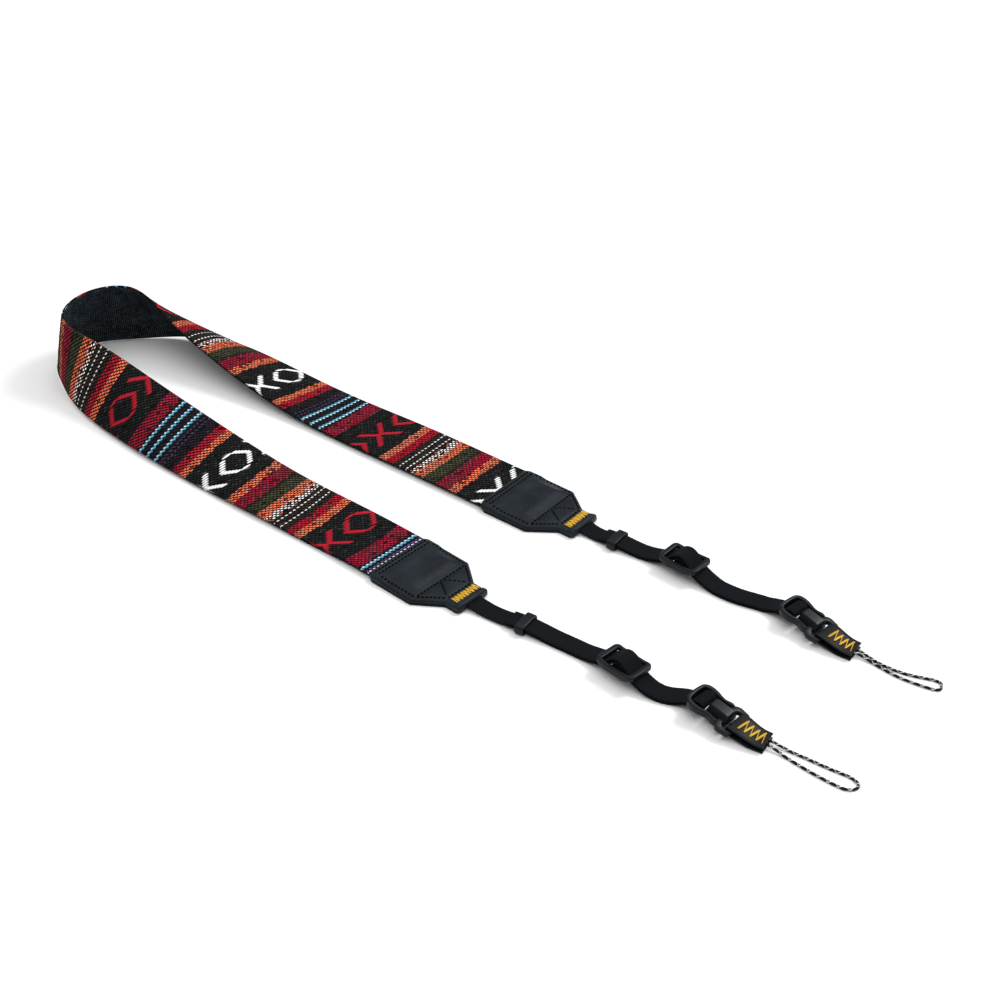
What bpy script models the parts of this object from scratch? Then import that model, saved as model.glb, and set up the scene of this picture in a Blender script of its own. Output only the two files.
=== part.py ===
"""Neck strap of woven tapestry band, lying in a U on a flat surface.

The wide band stands on its edge round the loop and twists flat towards both ends.
Each end has a leather cap, narrow webbing, a keeper, a slider, a side-release buckle,
a folded leather tab and a thin cord loop. Metres, +Z up, +X along the two arms.
"""
import math

import bpy
import numpy as np
from mathutils import Matrix, Vector

# Wide band: two bonded layers, the woven face outside and plain webbing inside.
STRAP_WIDTH = 0.038
BAND_LENGTH = 0.633
FACE_THICKNESS = 0.0010
BACKING_THICKNESS = 0.0010
GAP = 0.0003
BAND_STEPS = 84
BAND_COLUMNS = 6

# Plan of the U: how far the loop reaches from the caps, and half the spread of the arms.
LOOP_REACH = 0.270
HALF_SPREAD = 0.039

# Route of the band's middle line, from the front cap round the loop to the rear cap.
# Columns: share of BAND_LENGTH, x as a share of LOOP_REACH, y as a share of HALF_SPREAD,
# height as a share of STRAP_WIDTH, lean in degrees (0 on edge, 90 flat), bend across in degrees.
BAND_ROUTE = [
    (0.000, 0.070, -1.052, 0.062, 90, 0),
    (0.035, -0.012, -1.015, 0.062, 90, 0),
    (0.075, -0.105, -0.997, 0.062, 88, 4),
    (0.143, -0.263, -0.998, 0.127, 87, 24),
    (0.211, -0.422, -1.005, 0.211, 78, 37),
    (0.279, -0.582, -1.015, 0.345, 66, 49),
    (0.338, -0.718, -1.002, 0.436, 51, 52),
    (0.386, -0.830, -0.970, 0.516, 30, 40),
    (0.430, -0.922, -0.810, 0.560, 10, 13),
    (0.469, -0.988, -0.391, 0.560, 14, 0),
    (0.508, -0.998, 0.215, 0.540, 10, 4),
    (0.547, -0.950, 0.728, 0.530, 9, 27),
    (0.586, -0.872, 0.985, 0.529, 34, 51),
    (0.630, -0.771, 1.061, 0.453, 58, 48),
    (0.688, -0.638, 1.060, 0.258, 74, 20),
    (0.766, -0.458, 1.035, 0.067, 85, -3),
    (0.873, -0.206, 1.028, 0.058, 90, -4),
    (0.965, 0.010, 1.027, 0.062, 90, 0),
    (1.000, 0.092, 1.022, 0.062, 90, 0),
]

# Leather caps, measured from the strap-side edge.
CAP_WIDTH = 0.0415
CAP_SHOULDER = 0.0287
CAP_NECK = 0.0422
CAP_LENGTH = 0.0504
CAP_TAB_WIDTH = 0.0210
CAP_TOP_LEATHER = 0.0011
CAP_UNDER_LEATHER = 0.0009
CAP_COVER = 0.0080
CAP_CORNER = 0.0020

# Narrow webbing and what rides on it.
WEBBING_WIDTH = 0.0104
WEBBING_THICKNESS = 0.0010
LAYER_PITCH = WEBBING_THICKNESS + 1.2 * GAP
WEBBING_IN_CAP = 0.0140
HALF_OPENING = WEBBING_WIDTH / 2.0 + GAP
TAIL_PAST_KEEPER = 0.0060
KEEPER_LENGTH = 0.0050
KEEPER_WALL = 0.0009
SLIDER_LENGTH = 0.0225
SLIDER_RAIL = 0.0015
SLIDER_BAR = 0.0024
SLIDER_LIFT = 0.0079
SLIDER_THICKNESS = 0.0028
SLIDER_DIP = 0.0034
# Lengths over which the webbing rises from the surface to the slider and to the buckle.
SLIDER_RUN = 0.0120
BUCKLE_RUN = 0.0165

# Side-release buckle, measured along its length from the webbing bar.
BUCKLE_BAR_HEIGHT = 0.0076
BUCKLE_PITCH = 10.0
BUCKLE_BAR_HALF = 0.0008
WRAP_RADIUS = 0.0020
WRAP_TILT = 13.0
CLIP_REACH = 0.0070
CLIP_THICKNESS = 0.0030
CLIP_END_BAR = 0.0020
# Half outline of the clip. Columns: distance from the bar, half width.
CLIP_OUTLINE = [(-0.0070, 0.0040), (-0.0063, 0.0060), (-0.0046, 0.0075), (-0.0018, 0.0081),
                (0.0010, 0.0080), (0.0040, 0.0072), (0.0070, 0.0068), (0.0095, 0.0075),
                (0.0108, 0.0073)]
ARM_INNER = [(0.0108, 0.0059), (0.0085, 0.0055), (0.0050, 0.0053), (0.0025, 0.0058),
             (BUCKLE_BAR_HALF, 0.0058)]
# Housing sections. Columns: distance from the bar, half width at the bottom, half width of the
# top facet, height of the top above the middle plane.
HOUSING_SECTIONS = [(0.0042, 0.0040, 0.0020, 0.0030), (0.0060, 0.0044, 0.0024, 0.0036),
                    (0.0100, 0.0047, 0.0024, 0.0036), (0.0113, 0.0052, 0.0024, 0.0036),
                    (0.0118, 0.0080, 0.0024, 0.0035), (0.0140, 0.0087, 0.0025, 0.0033),
                    (0.0150, 0.0086, 0.0030, 0.0030), (0.0172, 0.0082, 0.0040, 0.0014),
                    (0.0196, 0.0077, 0.0060, 0.0010)]
HOUSING_BOTTOM = -0.0022
BASE_BAR = (0.0174, 0.0196)
BASE_BAR_BOTTOM = -0.0014
BASE_BAR_TOP = 0.0008
WINDOW_HALF = 0.0032
TAB_SLOT_HALF = 0.0068

# Folded leather tab and cord loop.
TAB_LEATHER = 0.0008
TAB_WIDTH_BAR = 0.0128
TAB_WIDTH_END = 0.0116
CORD_DIAMETER = 0.0013
CORD_STEP = 2.4 * CORD_DIAMETER
CORD_HEIGHT = 0.0007

# The two arms. Columns of a point: distance along X and plan position across, before centring.
# Keeper, slider, sag and bar are measured from the cap's tip, the tab's end from the bar, and
# the cord's points from the tab's end.
ARMS = {
    "front": {
        "band_end": 0.0,
        "keeper": (0.0318, -0.0424),
        "slider": (0.0883, -0.0416),
        "sag": (0.1123, -0.0419),
        "bar": (0.1321, -0.0402),
        "buckle_yaw": -5.0,
        "tab_end": (0.0337, -0.0410),
        "cord": [(-0.0070, -0.0395), (0.0020, -0.0390), (0.0165, -0.0378), (0.0335, -0.0366),
                 (0.0410, -0.0366), (0.0442, -0.0388), (0.0428, -0.0426), (0.0367, -0.0444),
                 (0.0203, -0.0438), (0.0040, -0.0422), (-0.0070, -0.0418)],
    },
    "rear": {
        "band_end": 1.0,
        "keeper": (0.0213, 0.0396),
        "slider": (0.0603, 0.0419),
        "sag": (0.0938, 0.0402),
        "bar": (0.1250, 0.0416),
        "buckle_yaw": -9.0,
        "tab_end": (0.0343, 0.0382),
        "cord": [(-0.0070, 0.0393), (0.0015, 0.0396), (0.0135, 0.0388), (0.0255, 0.0398),
                 (0.0355, 0.0432), (0.0415, 0.0436), (0.0430, 0.0400), (0.0375, 0.0373),
                 (0.0215, 0.0358), (0.0105, 0.0370), (0.0015, 0.0374), (-0.0070, 0.0372)],
    },
}


def smooth_curve(knots, values):
    """Natural cubic through values at knots, as a function of the knot variable."""
    t = np.asarray(knots, float)
    v = np.asarray(values, float).reshape(len(t), -1)
    step = np.diff(t)
    system = np.eye(len(t))
    right = np.zeros_like(v)
    for i in range(1, len(t) - 1):
        system[i, i - 1:i + 2] = (step[i - 1], 2.0 * (step[i - 1] + step[i]), step[i])
        right[i] = 6.0 * ((v[i + 1] - v[i]) / step[i] - (v[i] - v[i - 1]) / step[i - 1])
    curvature = np.linalg.solve(system, right)

    def at(s):
        s = np.atleast_1d(np.asarray(s, float))
        i = np.clip(np.searchsorted(t, s) - 1, 0, len(t) - 2)
        a = ((t[i + 1] - s) / step[i])[:, None]
        b = 1.0 - a
        bulge = (a ** 3 - a) * curvature[i] + (b ** 3 - b) * curvature[i + 1]
        return a * v[i] + b * v[i + 1] + bulge * (step[i] ** 2)[:, None] / 6.0

    return at


def ease(x):
    """0 to 1 with level ends."""
    x = np.clip(x, 0.0, 1.0)
    return x * x * (3.0 - 2.0 * x)


def material(name, colour, roughness, metallic=0.0):
    made = bpy.data.materials.new(name)
    made.use_nodes = True
    shader = made.node_tree.nodes["Principled BSDF"]
    shader.inputs["Base Color"].default_value = (*colour, 1.0)
    shader.inputs["Roughness"].default_value = roughness
    shader.inputs["Metallic"].default_value = metallic
    made.diffuse_color = (*colour, 1.0)
    return made


def mesh_object(name, points, faces, mat, smooth_angle=40.0):
    """A mesh object whose faces all look outward, shaded smooth apart from sharp edges."""
    mesh = bpy.data.meshes.new(name)
    mesh.from_pydata([tuple(p) for p in points], [], faces)
    mesh.validate()
    mesh.materials.append(mat)
    made = bpy.data.objects.new(name, mesh)
    PARTS.objects.link(made)
    face_outward(mesh)
    shade(mesh, smooth_angle)
    return made


def face_outward(mesh):
    """Turns all faces over where the closed mesh encloses a negative volume."""
    mesh.calc_loop_triangles()
    volume = 0.0
    for tri in mesh.loop_triangles:
        a, b, c = (mesh.vertices[i].co for i in tri.vertices)
        volume += a.dot(b.cross(c))
    if volume < 0.0:
        mesh.flip_normals()


def shade(mesh, angle):
    mesh.shade_smooth()
    mesh.set_sharp_from_angle(angle=math.radians(angle))


def band_frame(share):
    """Middle line, tangent, inward and up directions, lean and bend of the band at shares."""
    table = np.array(BAND_ROUTE, float)
    curve = smooth_curve(table[:, 0], table[:, 1:])
    rows = curve(share)
    nudge = 1e-4
    ahead = curve(np.clip(share + nudge, 0.0, 1.0))
    behind = curve(np.clip(share - nudge, 0.0, 1.0))
    size = np.array([LOOP_REACH, HALF_SPREAD, STRAP_WIDTH])
    middle = rows[:, :3] * size
    tangent = (ahead[:, :3] - behind[:, :3]) * size
    end = np.minimum(share, 1.0 - share) * BAND_LENGTH
    free = ease((end - 1.6 * CAP_COVER) / (3.0 * CAP_COVER))
    tangent[:, 2] *= free
    tangent /= np.linalg.norm(tangent, axis=1)[:, None]
    inward = np.stack([tangent[:, 1], -tangent[:, 0], np.zeros(len(share))], 1)
    inward /= np.linalg.norm(inward, axis=1)[:, None]
    up = np.cross(inward, tangent)
    lean = np.radians(90.0 + (rows[:, 3] - 90.0) * free)
    bend = np.radians(rows[:, 4]) * free
    middle[:, 2] = BAND_END_HEIGHT + (middle[:, 2] - BAND_END_HEIGHT) * free
    return middle, tangent, inward, up, lean, bend


def band_points(share, across, offset):
    """Points of the band: across runs from -0.5 (outer edge) to 0.5 (inner edge).

    The section is an arc: at a place v = across * STRAP_WIDTH its direction is
    lean + bend * across, so the point lies v * sinc(x) along the direction lean + x,
    with x = bend * across / 2. Offset runs outward from the middle of the thickness.
    """
    middle, _, inward, up, lean, bend = band_frame(share)
    half = 0.5 * bend[:, None] * across[None, :]
    chord = across[None, :] * STRAP_WIDTH * np.sinc(half / math.pi)
    aim = lean[:, None] + half
    face = lean[:, None] + 2.0 * half
    along_up = chord * np.cos(aim) + offset * np.sin(face)
    along_in = chord * np.sin(aim) - offset * np.cos(face)
    return (middle[:, None, :] + along_up[..., None] * up[:, None, :]
            + along_in[..., None] * inward[:, None, :])


def seat(points):
    """Height by which each section is raised so that none of it is below the surface."""
    lowest = points[..., 2].reshape(len(points), -1).min(axis=1)
    return np.maximum(0.0, -lowest)


def sheet_faces(rows, columns):
    """Faces of a closed sheet: an inner and an outer grid of points, joined round the rim."""
    def number(layer, i, j):
        return (layer * rows + i) * columns + j

    faces = []
    for i in range(rows - 1):
        for j in range(columns - 1):
            faces.append((number(0, i, j), number(0, i + 1, j), number(0, i + 1, j + 1),
                          number(0, i, j + 1)))
            faces.append((number(1, i, j), number(1, i, j + 1), number(1, i + 1, j + 1),
                          number(1, i + 1, j)))
        for j in (0, columns - 1):
            rim = (number(0, i, j), number(1, i, j), number(1, i + 1, j), number(0, i + 1, j))
            faces.append(rim if j == 0 else rim[::-1])
    for j in range(columns - 1):
        for i in (0, rows - 1):
            rim = (number(0, i, j), number(0, i, j + 1), number(1, i, j + 1), number(1, i, j))
            faces.append(rim if i == 0 else rim[::-1])
    return faces


def band_layer(name, low, high, mat):
    """One layer of the band, between two offsets from the middle of its thickness."""
    share = np.linspace(0.0, 1.0, BAND_STEPS + 1)
    across = np.linspace(-0.5, 0.5, BAND_COLUMNS + 1)
    grids = [band_points(share, across, offset) for offset in (low, high)]
    whole = np.concatenate([band_points(share, across, offset)
                            for offset in (-BAND_HALF, BAND_HALF)], axis=1)
    for grid in grids:
        grid[..., 2] += seat(whole)[:, None]
    points = np.concatenate([grid.reshape(-1, 3) for grid in grids])
    faces = sheet_faces(len(share), len(across))
    return mesh_object(name, points, faces, mat)


def cap_outline(width, neck_width, start, end, corner):
    """Flat outline of a cap: straight sides, tapered shoulders and a narrow tab."""
    half = width / 2.0
    neck = neck_width / 2.0
    side = [(start + corner, half), (CAP_SHOULDER, half), (CAP_SHOULDER + 0.35 * corner, half - 0.3 * corner),
            (CAP_NECK, neck + 0.2 * corner), (CAP_NECK + 0.6 * corner, neck), (end - 0.4 * corner, neck),
            (end, neck - 0.4 * corner)]
    side = [(start, half - corner), (start + 0.3 * corner, half - 0.3 * corner)] + side
    return side + [(x, -y) for x, y in reversed(side)]


def prism(name, outline, low, high, mat, collection=None):
    """A flat outline pushed up between two heights."""
    count = len(outline)
    points = [(x, y, low) for x, y in outline] + [(x, y, high) for x, y in outline]
    faces = [tuple(range(count))[::-1], tuple(range(count, 2 * count))]
    for i in range(count):
        k = (i + 1) % count
        faces.append((i, k, count + k, count + i))
    made = mesh_object(name, points, faces, mat)
    if collection:
        PARTS.objects.unlink(made)
        collection.objects.link(made)
        made.hide_render = True
        made.display_type = "WIRE"
    return made


def box(name, x, y, z, mat, collection=None):
    outline = [(x[0], y[0]), (x[1], y[0]), (x[1], y[1]), (x[0], y[1])]
    return prism(name, outline, z[0], z[1], mat, collection)


def tunnel(name, profile, half_width, mat):
    """A cutter with an even side profile of (x, z) points, between -half_width and half_width."""
    made = prism(name, profile, -half_width, half_width, mat, CUTTERS)
    made.data.transform(Matrix.Rotation(math.radians(90.0), 4, "X"))
    return made


def cut(body, tool):
    boolean = body.modifiers.new("cut " + tool.name, "BOOLEAN")
    boolean.operation = "DIFFERENCE"
    boolean.solver = "EXACT"
    boolean.object = tool


def round_edges(body, width):
    bevel = body.modifiers.new("edge rounding", "BEVEL")
    bevel.width = width
    bevel.segments = 2
    bevel.limit_method = "ANGLE"
    bevel.angle_limit = math.radians(50.0)


def place(objects, where, yaw, pitch=0.0):
    """Turns and moves the objects' meshes, so that their own frames stay the strap's frame."""
    move = (Matrix.Translation(Vector(where)) @ Matrix.Rotation(yaw, 4, "Z")
            @ Matrix.Rotation(math.radians(pitch), 4, "Y"))
    for made in objects:
        made.data.transform(move)


def strip(name, line, plan, half_width, thickness, mat):
    """A strip of even thickness along a line of (x, z) points, on a plan curve y(x)."""
    line = np.asarray(line, float)
    ahead = np.gradient(line, axis=0)
    ahead /= np.linalg.norm(ahead, axis=1)[:, None]
    normal = np.stack([-ahead[:, 1], ahead[:, 0]], 1)
    y = plan(line[:, 0])[:, 0]
    step = 0.001
    turn = np.arctan2(plan(line[:, 0] + step)[:, 0] - plan(line[:, 0] - step)[:, 0], 2.0 * step)
    points = []
    for side in (-0.5, 0.5):
        edge = line + side * thickness * normal
        for lateral in (-1.0, 1.0):
            out = lateral * half_width
            points.append(np.stack([edge[:, 0] - out * np.sin(turn), y + out * np.cos(turn), edge[:, 1]], 1))
    grid = np.stack(points).reshape(2, 2, len(line), 3).transpose(0, 2, 1, 3)
    faces = sheet_faces(len(line), 2)
    return mesh_object(name, grid.reshape(-1, 3), faces, mat)


def build_cap(arm, mats):
    """Top leather with turned-down rim, and the flat leather under it."""
    end = ARMS[arm]["band_end"]
    middle, tangent, _, _, _, _ = band_frame(np.array([end]))
    away = tangent[0] * (1.0 if end == 1.0 else -1.0)
    yaw = math.atan2(away[1], away[0])
    start = Vector(middle[0]) - Vector(away) * CAP_COVER
    where = (start.x, start.y, 0.0)
    outline = cap_outline(CAP_WIDTH, CAP_TAB_WIDTH, 0.0, CAP_LENGTH, CAP_CORNER)
    top = prism("leather_cap_" + arm, outline, CAP_RIM_LOW, CAP_TOP, mats["leather"])
    round_edges(top, 0.0006)
    strap_room = box("strap room " + arm, (-0.004, CAP_COVER + GAP),
                     (-STRAP_WIDTH / 2 - 1.2 * GAP, STRAP_WIDTH / 2 + 1.2 * GAP),
                     (-0.004, CAP_TOP - CAP_TOP_LEATHER), mats["leather"], CUTTERS)
    web_room = box("webbing room " + arm, (CAP_LENGTH - WEBBING_IN_CAP - GAP, CAP_LENGTH + 0.004),
                   (-HALF_OPENING, HALF_OPENING),
                   (-0.004, BAND_END_HEIGHT + WEBBING_THICKNESS / 2 + GAP), mats["leather"], CUTTERS)
    under = prism("cap_underside_" + arm, outline, 0.0, CAP_UNDER_LEATHER, mats["leather_under"])
    place((top, under, strap_room, web_room), where, yaw)
    cut(top, strap_room)
    cut(top, web_room)
    tip = start + Vector(away) * CAP_LENGTH
    return tip, yaw


def spots_of(arm, cap_tip):
    """Plan points of the arm's pieces, from the tip of its cap."""
    row = ARMS[arm]
    spots = {name: (cap_tip.x + row[name][0], row[name][1]) for name in ("keeper", "slider", "sag", "bar")}
    end = (spots["bar"][0] + row["tab_end"][0], row["tab_end"][1])
    spots["tab_end"] = end
    spots["cord"] = [(end[0] + x, y) for x, y in row["cord"]]
    return spots


def layer_lines(spots, cap_tip):
    """Side view of the webbing: the run from the cap to the buckle bar and the run back."""
    keeper = spots["keeper"][0]
    slider = spots["slider"][0]
    bar = spots["bar"][0]
    reach = SLIDER_LENGTH / 2 - SLIDER_BAR
    rest = WEBBING_THICKNESS / 2 + 0.0002
    in_keeper = KEEPER_WALL + 0.0002 + GAP + WEBBING_THICKNESS / 2
    tilt = math.radians(WRAP_TILT)
    last_x = bar + WRAP_RADIUS * math.sin(tilt)
    last_z = BUCKLE_BAR_HEIGHT - WRAP_RADIUS * math.cos(tilt)
    dip = SLIDER_LIFT - SLIDER_DIP
    to_keeper = keeper - KEEPER_LENGTH - cap_tip
    table = [
        (cap_tip - WEBBING_IN_CAP, BAND_END_HEIGHT),
        (cap_tip - 0.36 * WEBBING_IN_CAP, BAND_END_HEIGHT),
        (cap_tip + 0.07 * WEBBING_IN_CAP, BAND_END_HEIGHT),
        (cap_tip + 0.4 * to_keeper, rest + 0.0006),
        (keeper - 0.8 * KEEPER_LENGTH, in_keeper),
        (keeper + 0.8 * KEEPER_LENGTH, in_keeper),
        (keeper + 3.0 * KEEPER_LENGTH, rest + 0.0002),
        (slider - reach - SLIDER_RUN, rest + 0.0004),
        (slider - reach, dip),
        (slider, SLIDER_LIFT),
        (slider + reach, dip),
        (slider + reach + 0.92 * SLIDER_RUN, rest + 0.0003),
        (bar - BUCKLE_RUN, rest + 0.0002),
        (bar - 0.9 * CLIP_REACH, last_z - 0.9 * WRAP_RADIUS),
        (last_x, last_z),
    ]
    x, z = zip(*table)
    height = smooth_curve(x, z)
    run = np.linspace(x[0], x[-1], 76)
    there = np.stack([run, np.maximum(height(run)[:, 0], rest)], 1)
    ahead = np.gradient(there, axis=0)
    ahead /= np.linalg.norm(ahead, axis=1)[:, None]
    normal = np.stack([-ahead[:, 1], ahead[:, 0]], 1)
    apart = LAYER_PITCH + (2.0 * WRAP_RADIUS - LAYER_PITCH) * ease((run - (bar - 2.5 * WRAP_RADIUS)) / (2.3 * WRAP_RADIUS))
    over = there + normal * apart[:, None]
    tail = keeper - KEEPER_LENGTH / 2 - TAIL_PAST_KEEPER
    back = over[over[:, 0] > tail][::-1]
    centre = 0.5 * (there[-1] + over[-1])
    spoke = there[-1] - centre
    turn = []
    for angle in np.linspace(0.0, math.pi, 11)[1:-1]:
        c, s = math.cos(angle), math.sin(angle)
        turn.append((centre[0] + c * spoke[0] - s * spoke[1], centre[1] + s * spoke[0] + c * spoke[1]))
    return there, np.array(turn), back


def build_webbing(arm, spots, cap_tip, cap_yaw, mats):
    """Webbing from the cap through keeper and slider, round the buckle bar and back."""
    there, wrap, back = layer_lines(spots, cap_tip.x)
    inside = cap_tip.x - WEBBING_IN_CAP
    slope = math.tan(cap_yaw)
    turn = math.tan(math.radians(ARMS[arm]["buckle_yaw"]))
    plan = smooth_curve(
        [inside, cap_tip.x, spots["keeper"][0], spots["slider"][0], spots["sag"][0],
         spots["bar"][0] - 1.6 * CLIP_REACH, spots["bar"][0] - 0.6 * CLIP_REACH, spots["bar"][0] + 0.004],
        [cap_tip.y - slope * WEBBING_IN_CAP, cap_tip.y, spots["keeper"][1], spots["slider"][1],
         spots["sag"][1], spots["bar"][1] - turn * 1.6 * CLIP_REACH,
         spots["bar"][1] - turn * 0.6 * CLIP_REACH, spots["bar"][1] + turn * 0.004])
    line = np.concatenate([there, wrap, back])
    strip("adjuster_webbing_" + arm, line, plan, WEBBING_WIDTH / 2, WEBBING_THICKNESS, mats["webbing"])
    return plan


def heading(plan, x):
    """Plan direction of the webbing at x."""
    step = 0.001
    rise = plan(x + step)[0, 0] - plan(x - step)[0, 0]
    return math.atan2(rise, 2.0 * step)


def build_keeper(arm, spots, plan, mats):
    x = spots["keeper"][0]
    y = plan(x)[0, 0]
    low = 0.0002
    room = 2.0 * GAP + WEBBING_THICKNESS + LAYER_PITCH
    high = low + 2.0 * KEEPER_WALL + room
    half = HALF_OPENING + GAP + KEEPER_WALL
    half_length = KEEPER_LENGTH / 2
    ring = box("keeper_" + arm, (-half_length, half_length), (-half, half), (low, high), mats["plastic"])
    round_edges(ring, 0.0005)
    room_box = box("keeper room " + arm, (-half_length - 0.002, half_length + 0.002),
                   (-half + KEEPER_WALL, half - KEEPER_WALL),
                   (low + KEEPER_WALL, high - KEEPER_WALL), mats["plastic"], CUTTERS)
    place((ring, room_box), (x, y, 0.0), heading(plan, x))
    cut(ring, room_box)


def build_slider(arm, spots, plan, mats):
    """Frame with two end bars over the webbing and a lower middle bar under it."""
    x = spots["slider"][0]
    y = plan(x)[0, 0]
    half_length = SLIDER_LENGTH / 2
    inner = HALF_OPENING + GAP
    outer = inner + SLIDER_RAIL
    under_layers = SLIDER_LIFT - WEBBING_THICKNESS / 2 - GAP
    low = under_layers - 0.0015
    high = low + SLIDER_THICKNESS
    end_low = SLIDER_LIFT - SLIDER_DIP + LAYER_PITCH + WEBBING_THICKNESS / 2 + 2.6 * GAP
    corner = 0.0022
    outline = []
    for cx, cy, first in ((half_length - corner, outer - corner, 0.0), (corner - half_length, outer - corner, 90.0),
                          (corner - half_length, corner - outer, 180.0), (half_length - corner, corner - outer, 270.0)):
        for turn in (0.0, 30.0, 60.0, 90.0):
            angle = math.radians(first + turn)
            outline.append((cx + corner * math.cos(angle), cy + corner * math.sin(angle)))
    frame = prism("slider_" + arm, outline, low, high, mats["plastic"])
    round_edges(frame, 0.0004)
    half_bar = SLIDER_BAR / 2
    inside = half_length - SLIDER_BAR
    past = half_length + 0.001
    below = low - 0.001
    above = high + 0.001
    way = tunnel("webbing way " + arm,
                 [(-past, below), (-half_bar, below), (-half_bar, under_layers), (half_bar, under_layers),
                  (half_bar, below), (past, below), (past, end_low), (inside, end_low), (inside, above),
                  (-inside, above), (-inside, end_low), (-past, end_low)], inner, mats["plastic"])
    place((frame, way), (x, y, 0.0), heading(plan, x))
    cut(frame, way)


def build_clip(arm, where, yaw, mats):
    """Clip half of the buckle: webbing window, webbing bar and two side arms."""
    near_side = [(u, v) for u, v in CLIP_OUTLINE] + [(u, v) for u, v in ARM_INNER]
    far_side = [(u, -v) for u, v in reversed(near_side)]
    half = CLIP_THICKNESS / 2
    clip = prism("buckle_clip_" + arm, near_side + far_side, -half, half, mats["plastic"])
    round_edges(clip, 0.0006)
    first = CLIP_END_BAR - CLIP_REACH
    bar = BUCKLE_BAR_HALF
    past = 2.0 * bar
    tall = CLIP_THICKNESS
    window = tunnel("webbing window " + arm,
                    [(first, -tall), (past, -tall), (past, -bar), (-bar, -bar), (-bar, bar), (past, bar),
                     (past, tall), (first, tall)], HALF_OPENING, mats["plastic"])
    place((clip, window), where, yaw, BUCKLE_PITCH)
    cut(clip, window)


def build_housing(arm, where, yaw, mats):
    """Ridged housing of the buckle, flared to a slotted base."""
    points = []
    for u, half, top_half, top in HOUSING_SECTIONS:
        shoulder = 0.35 * top
        points += [(u, -half, HOUSING_BOTTOM), (u, half, HOUSING_BOTTOM), (u, half, shoulder),
                   (u, top_half, top), (u, -top_half, top), (u, -half, shoulder)]
    count = len(HOUSING_SECTIONS)
    faces = [tuple(range(6))[::-1], tuple(range(6 * (count - 1), 6 * count))]
    for i in range(count - 1):
        for j in range(6):
            k = (j + 1) % 6
            faces.append((6 * i + j, 6 * i + k, 6 * (i + 1) + k, 6 * (i + 1) + j))
    body = mesh_object("buckle_housing_" + arm, points, faces, mats["housing"], 25.0)
    slot_end = BASE_BAR[0]
    window = box("housing window " + arm, (slot_end - 0.0029, slot_end - 0.0014), (-WINDOW_HALF, WINDOW_HALF),
                 (-0.006, 0.006), mats["housing"], CUTTERS)
    slot_start = slot_end - 0.0018
    past = BASE_BAR[1] + 0.001
    tall = 0.006
    slot = tunnel("tab slot " + arm,
                  [(slot_start, -tall), (past, -tall), (past, BASE_BAR_BOTTOM), (slot_end, BASE_BAR_BOTTOM),
                   (slot_end, BASE_BAR_TOP), (past, BASE_BAR_TOP), (past, tall), (slot_start, tall)],
                  TAB_SLOT_HALF, mats["housing"])
    place((body, window, slot), where, yaw, BUCKLE_PITCH)
    cut(body, window)
    cut(body, slot)


def build_tab(arm, spots, where, yaw, mats):
    """Leather folded round the buckle's base bar, holding the cord's two ends."""
    end_x, end_y = spots["tab_end"]
    pitch = math.radians(BUCKLE_PITCH)
    middle = 0.5 * (BASE_BAR[0] + BASE_BAR[1])
    bar_x = where[0] + middle * math.cos(pitch) * math.cos(yaw)
    bar_y = where[1] + middle * math.cos(pitch) * math.sin(yaw)
    bar_z = where[2] - middle * math.sin(pitch)
    reach = BASE_BAR[1] - middle + 2.4 * GAP + TAB_LEATHER / 2
    low = bar_z + BASE_BAR_BOTTOM - 1.6 * GAP - TAB_LEATHER / 2
    high = bar_z + BASE_BAR_TOP + GAP + TAB_LEATHER / 2 + 0.0003
    floor = TAB_LEATHER / 2 + 0.0002
    apart = CORD_DIAMETER + 2.0 * GAP + TAB_LEATHER
    lower = smooth_curve([bar_x - 0.0006, bar_x + 0.0040, end_x - 0.006, end_x], [low, low - 0.0004, floor, floor])
    upper = smooth_curve([bar_x - 0.0006, bar_x + 0.0030, end_x - 0.004, end_x],
                         [high, high - 0.0004, floor + apart + 0.0002, floor + apart])
    run = np.linspace(bar_x - 0.0006, end_x, 14)
    under = np.stack([run[::-1], lower(run[::-1])[:, 0]], 1)
    under[:, 1] = np.maximum(under[:, 1], floor)
    over = np.stack([run, upper(run)[:, 0]], 1)
    over[:, 1] = np.maximum(over[:, 1], under[::-1, 1] + apart)
    centre_z = 0.5 * (under[-1, 1] + over[0, 1])
    half = 0.5 * (over[0, 1] - under[-1, 1])
    turn = [(run[0] - (reach - 0.0006) * math.sin(a), centre_z - half * math.cos(a))
            for a in np.linspace(0.0, math.pi, 9)[1:-1]]
    line = np.concatenate([under, np.array(turn), over])
    share = np.clip((line[:, 0] - bar_x) / (end_x - bar_x), 0.0, 1.0)
    half_width = 0.5 * (TAB_WIDTH_BAR + (TAB_WIDTH_END - TAB_WIDTH_BAR) * share)
    turn = 0.003
    plan = smooth_curve([bar_x - turn, bar_x, bar_x + turn, end_x + 0.002],
                        [bar_y - turn * math.tan(yaw), bar_y, bar_y + turn * math.tan(yaw), end_y])
    strip("end_tab_" + arm, line, plan, half_width, TAB_LEATHER, mats["leather_tab"])
    return floor + 0.5 * apart


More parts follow.
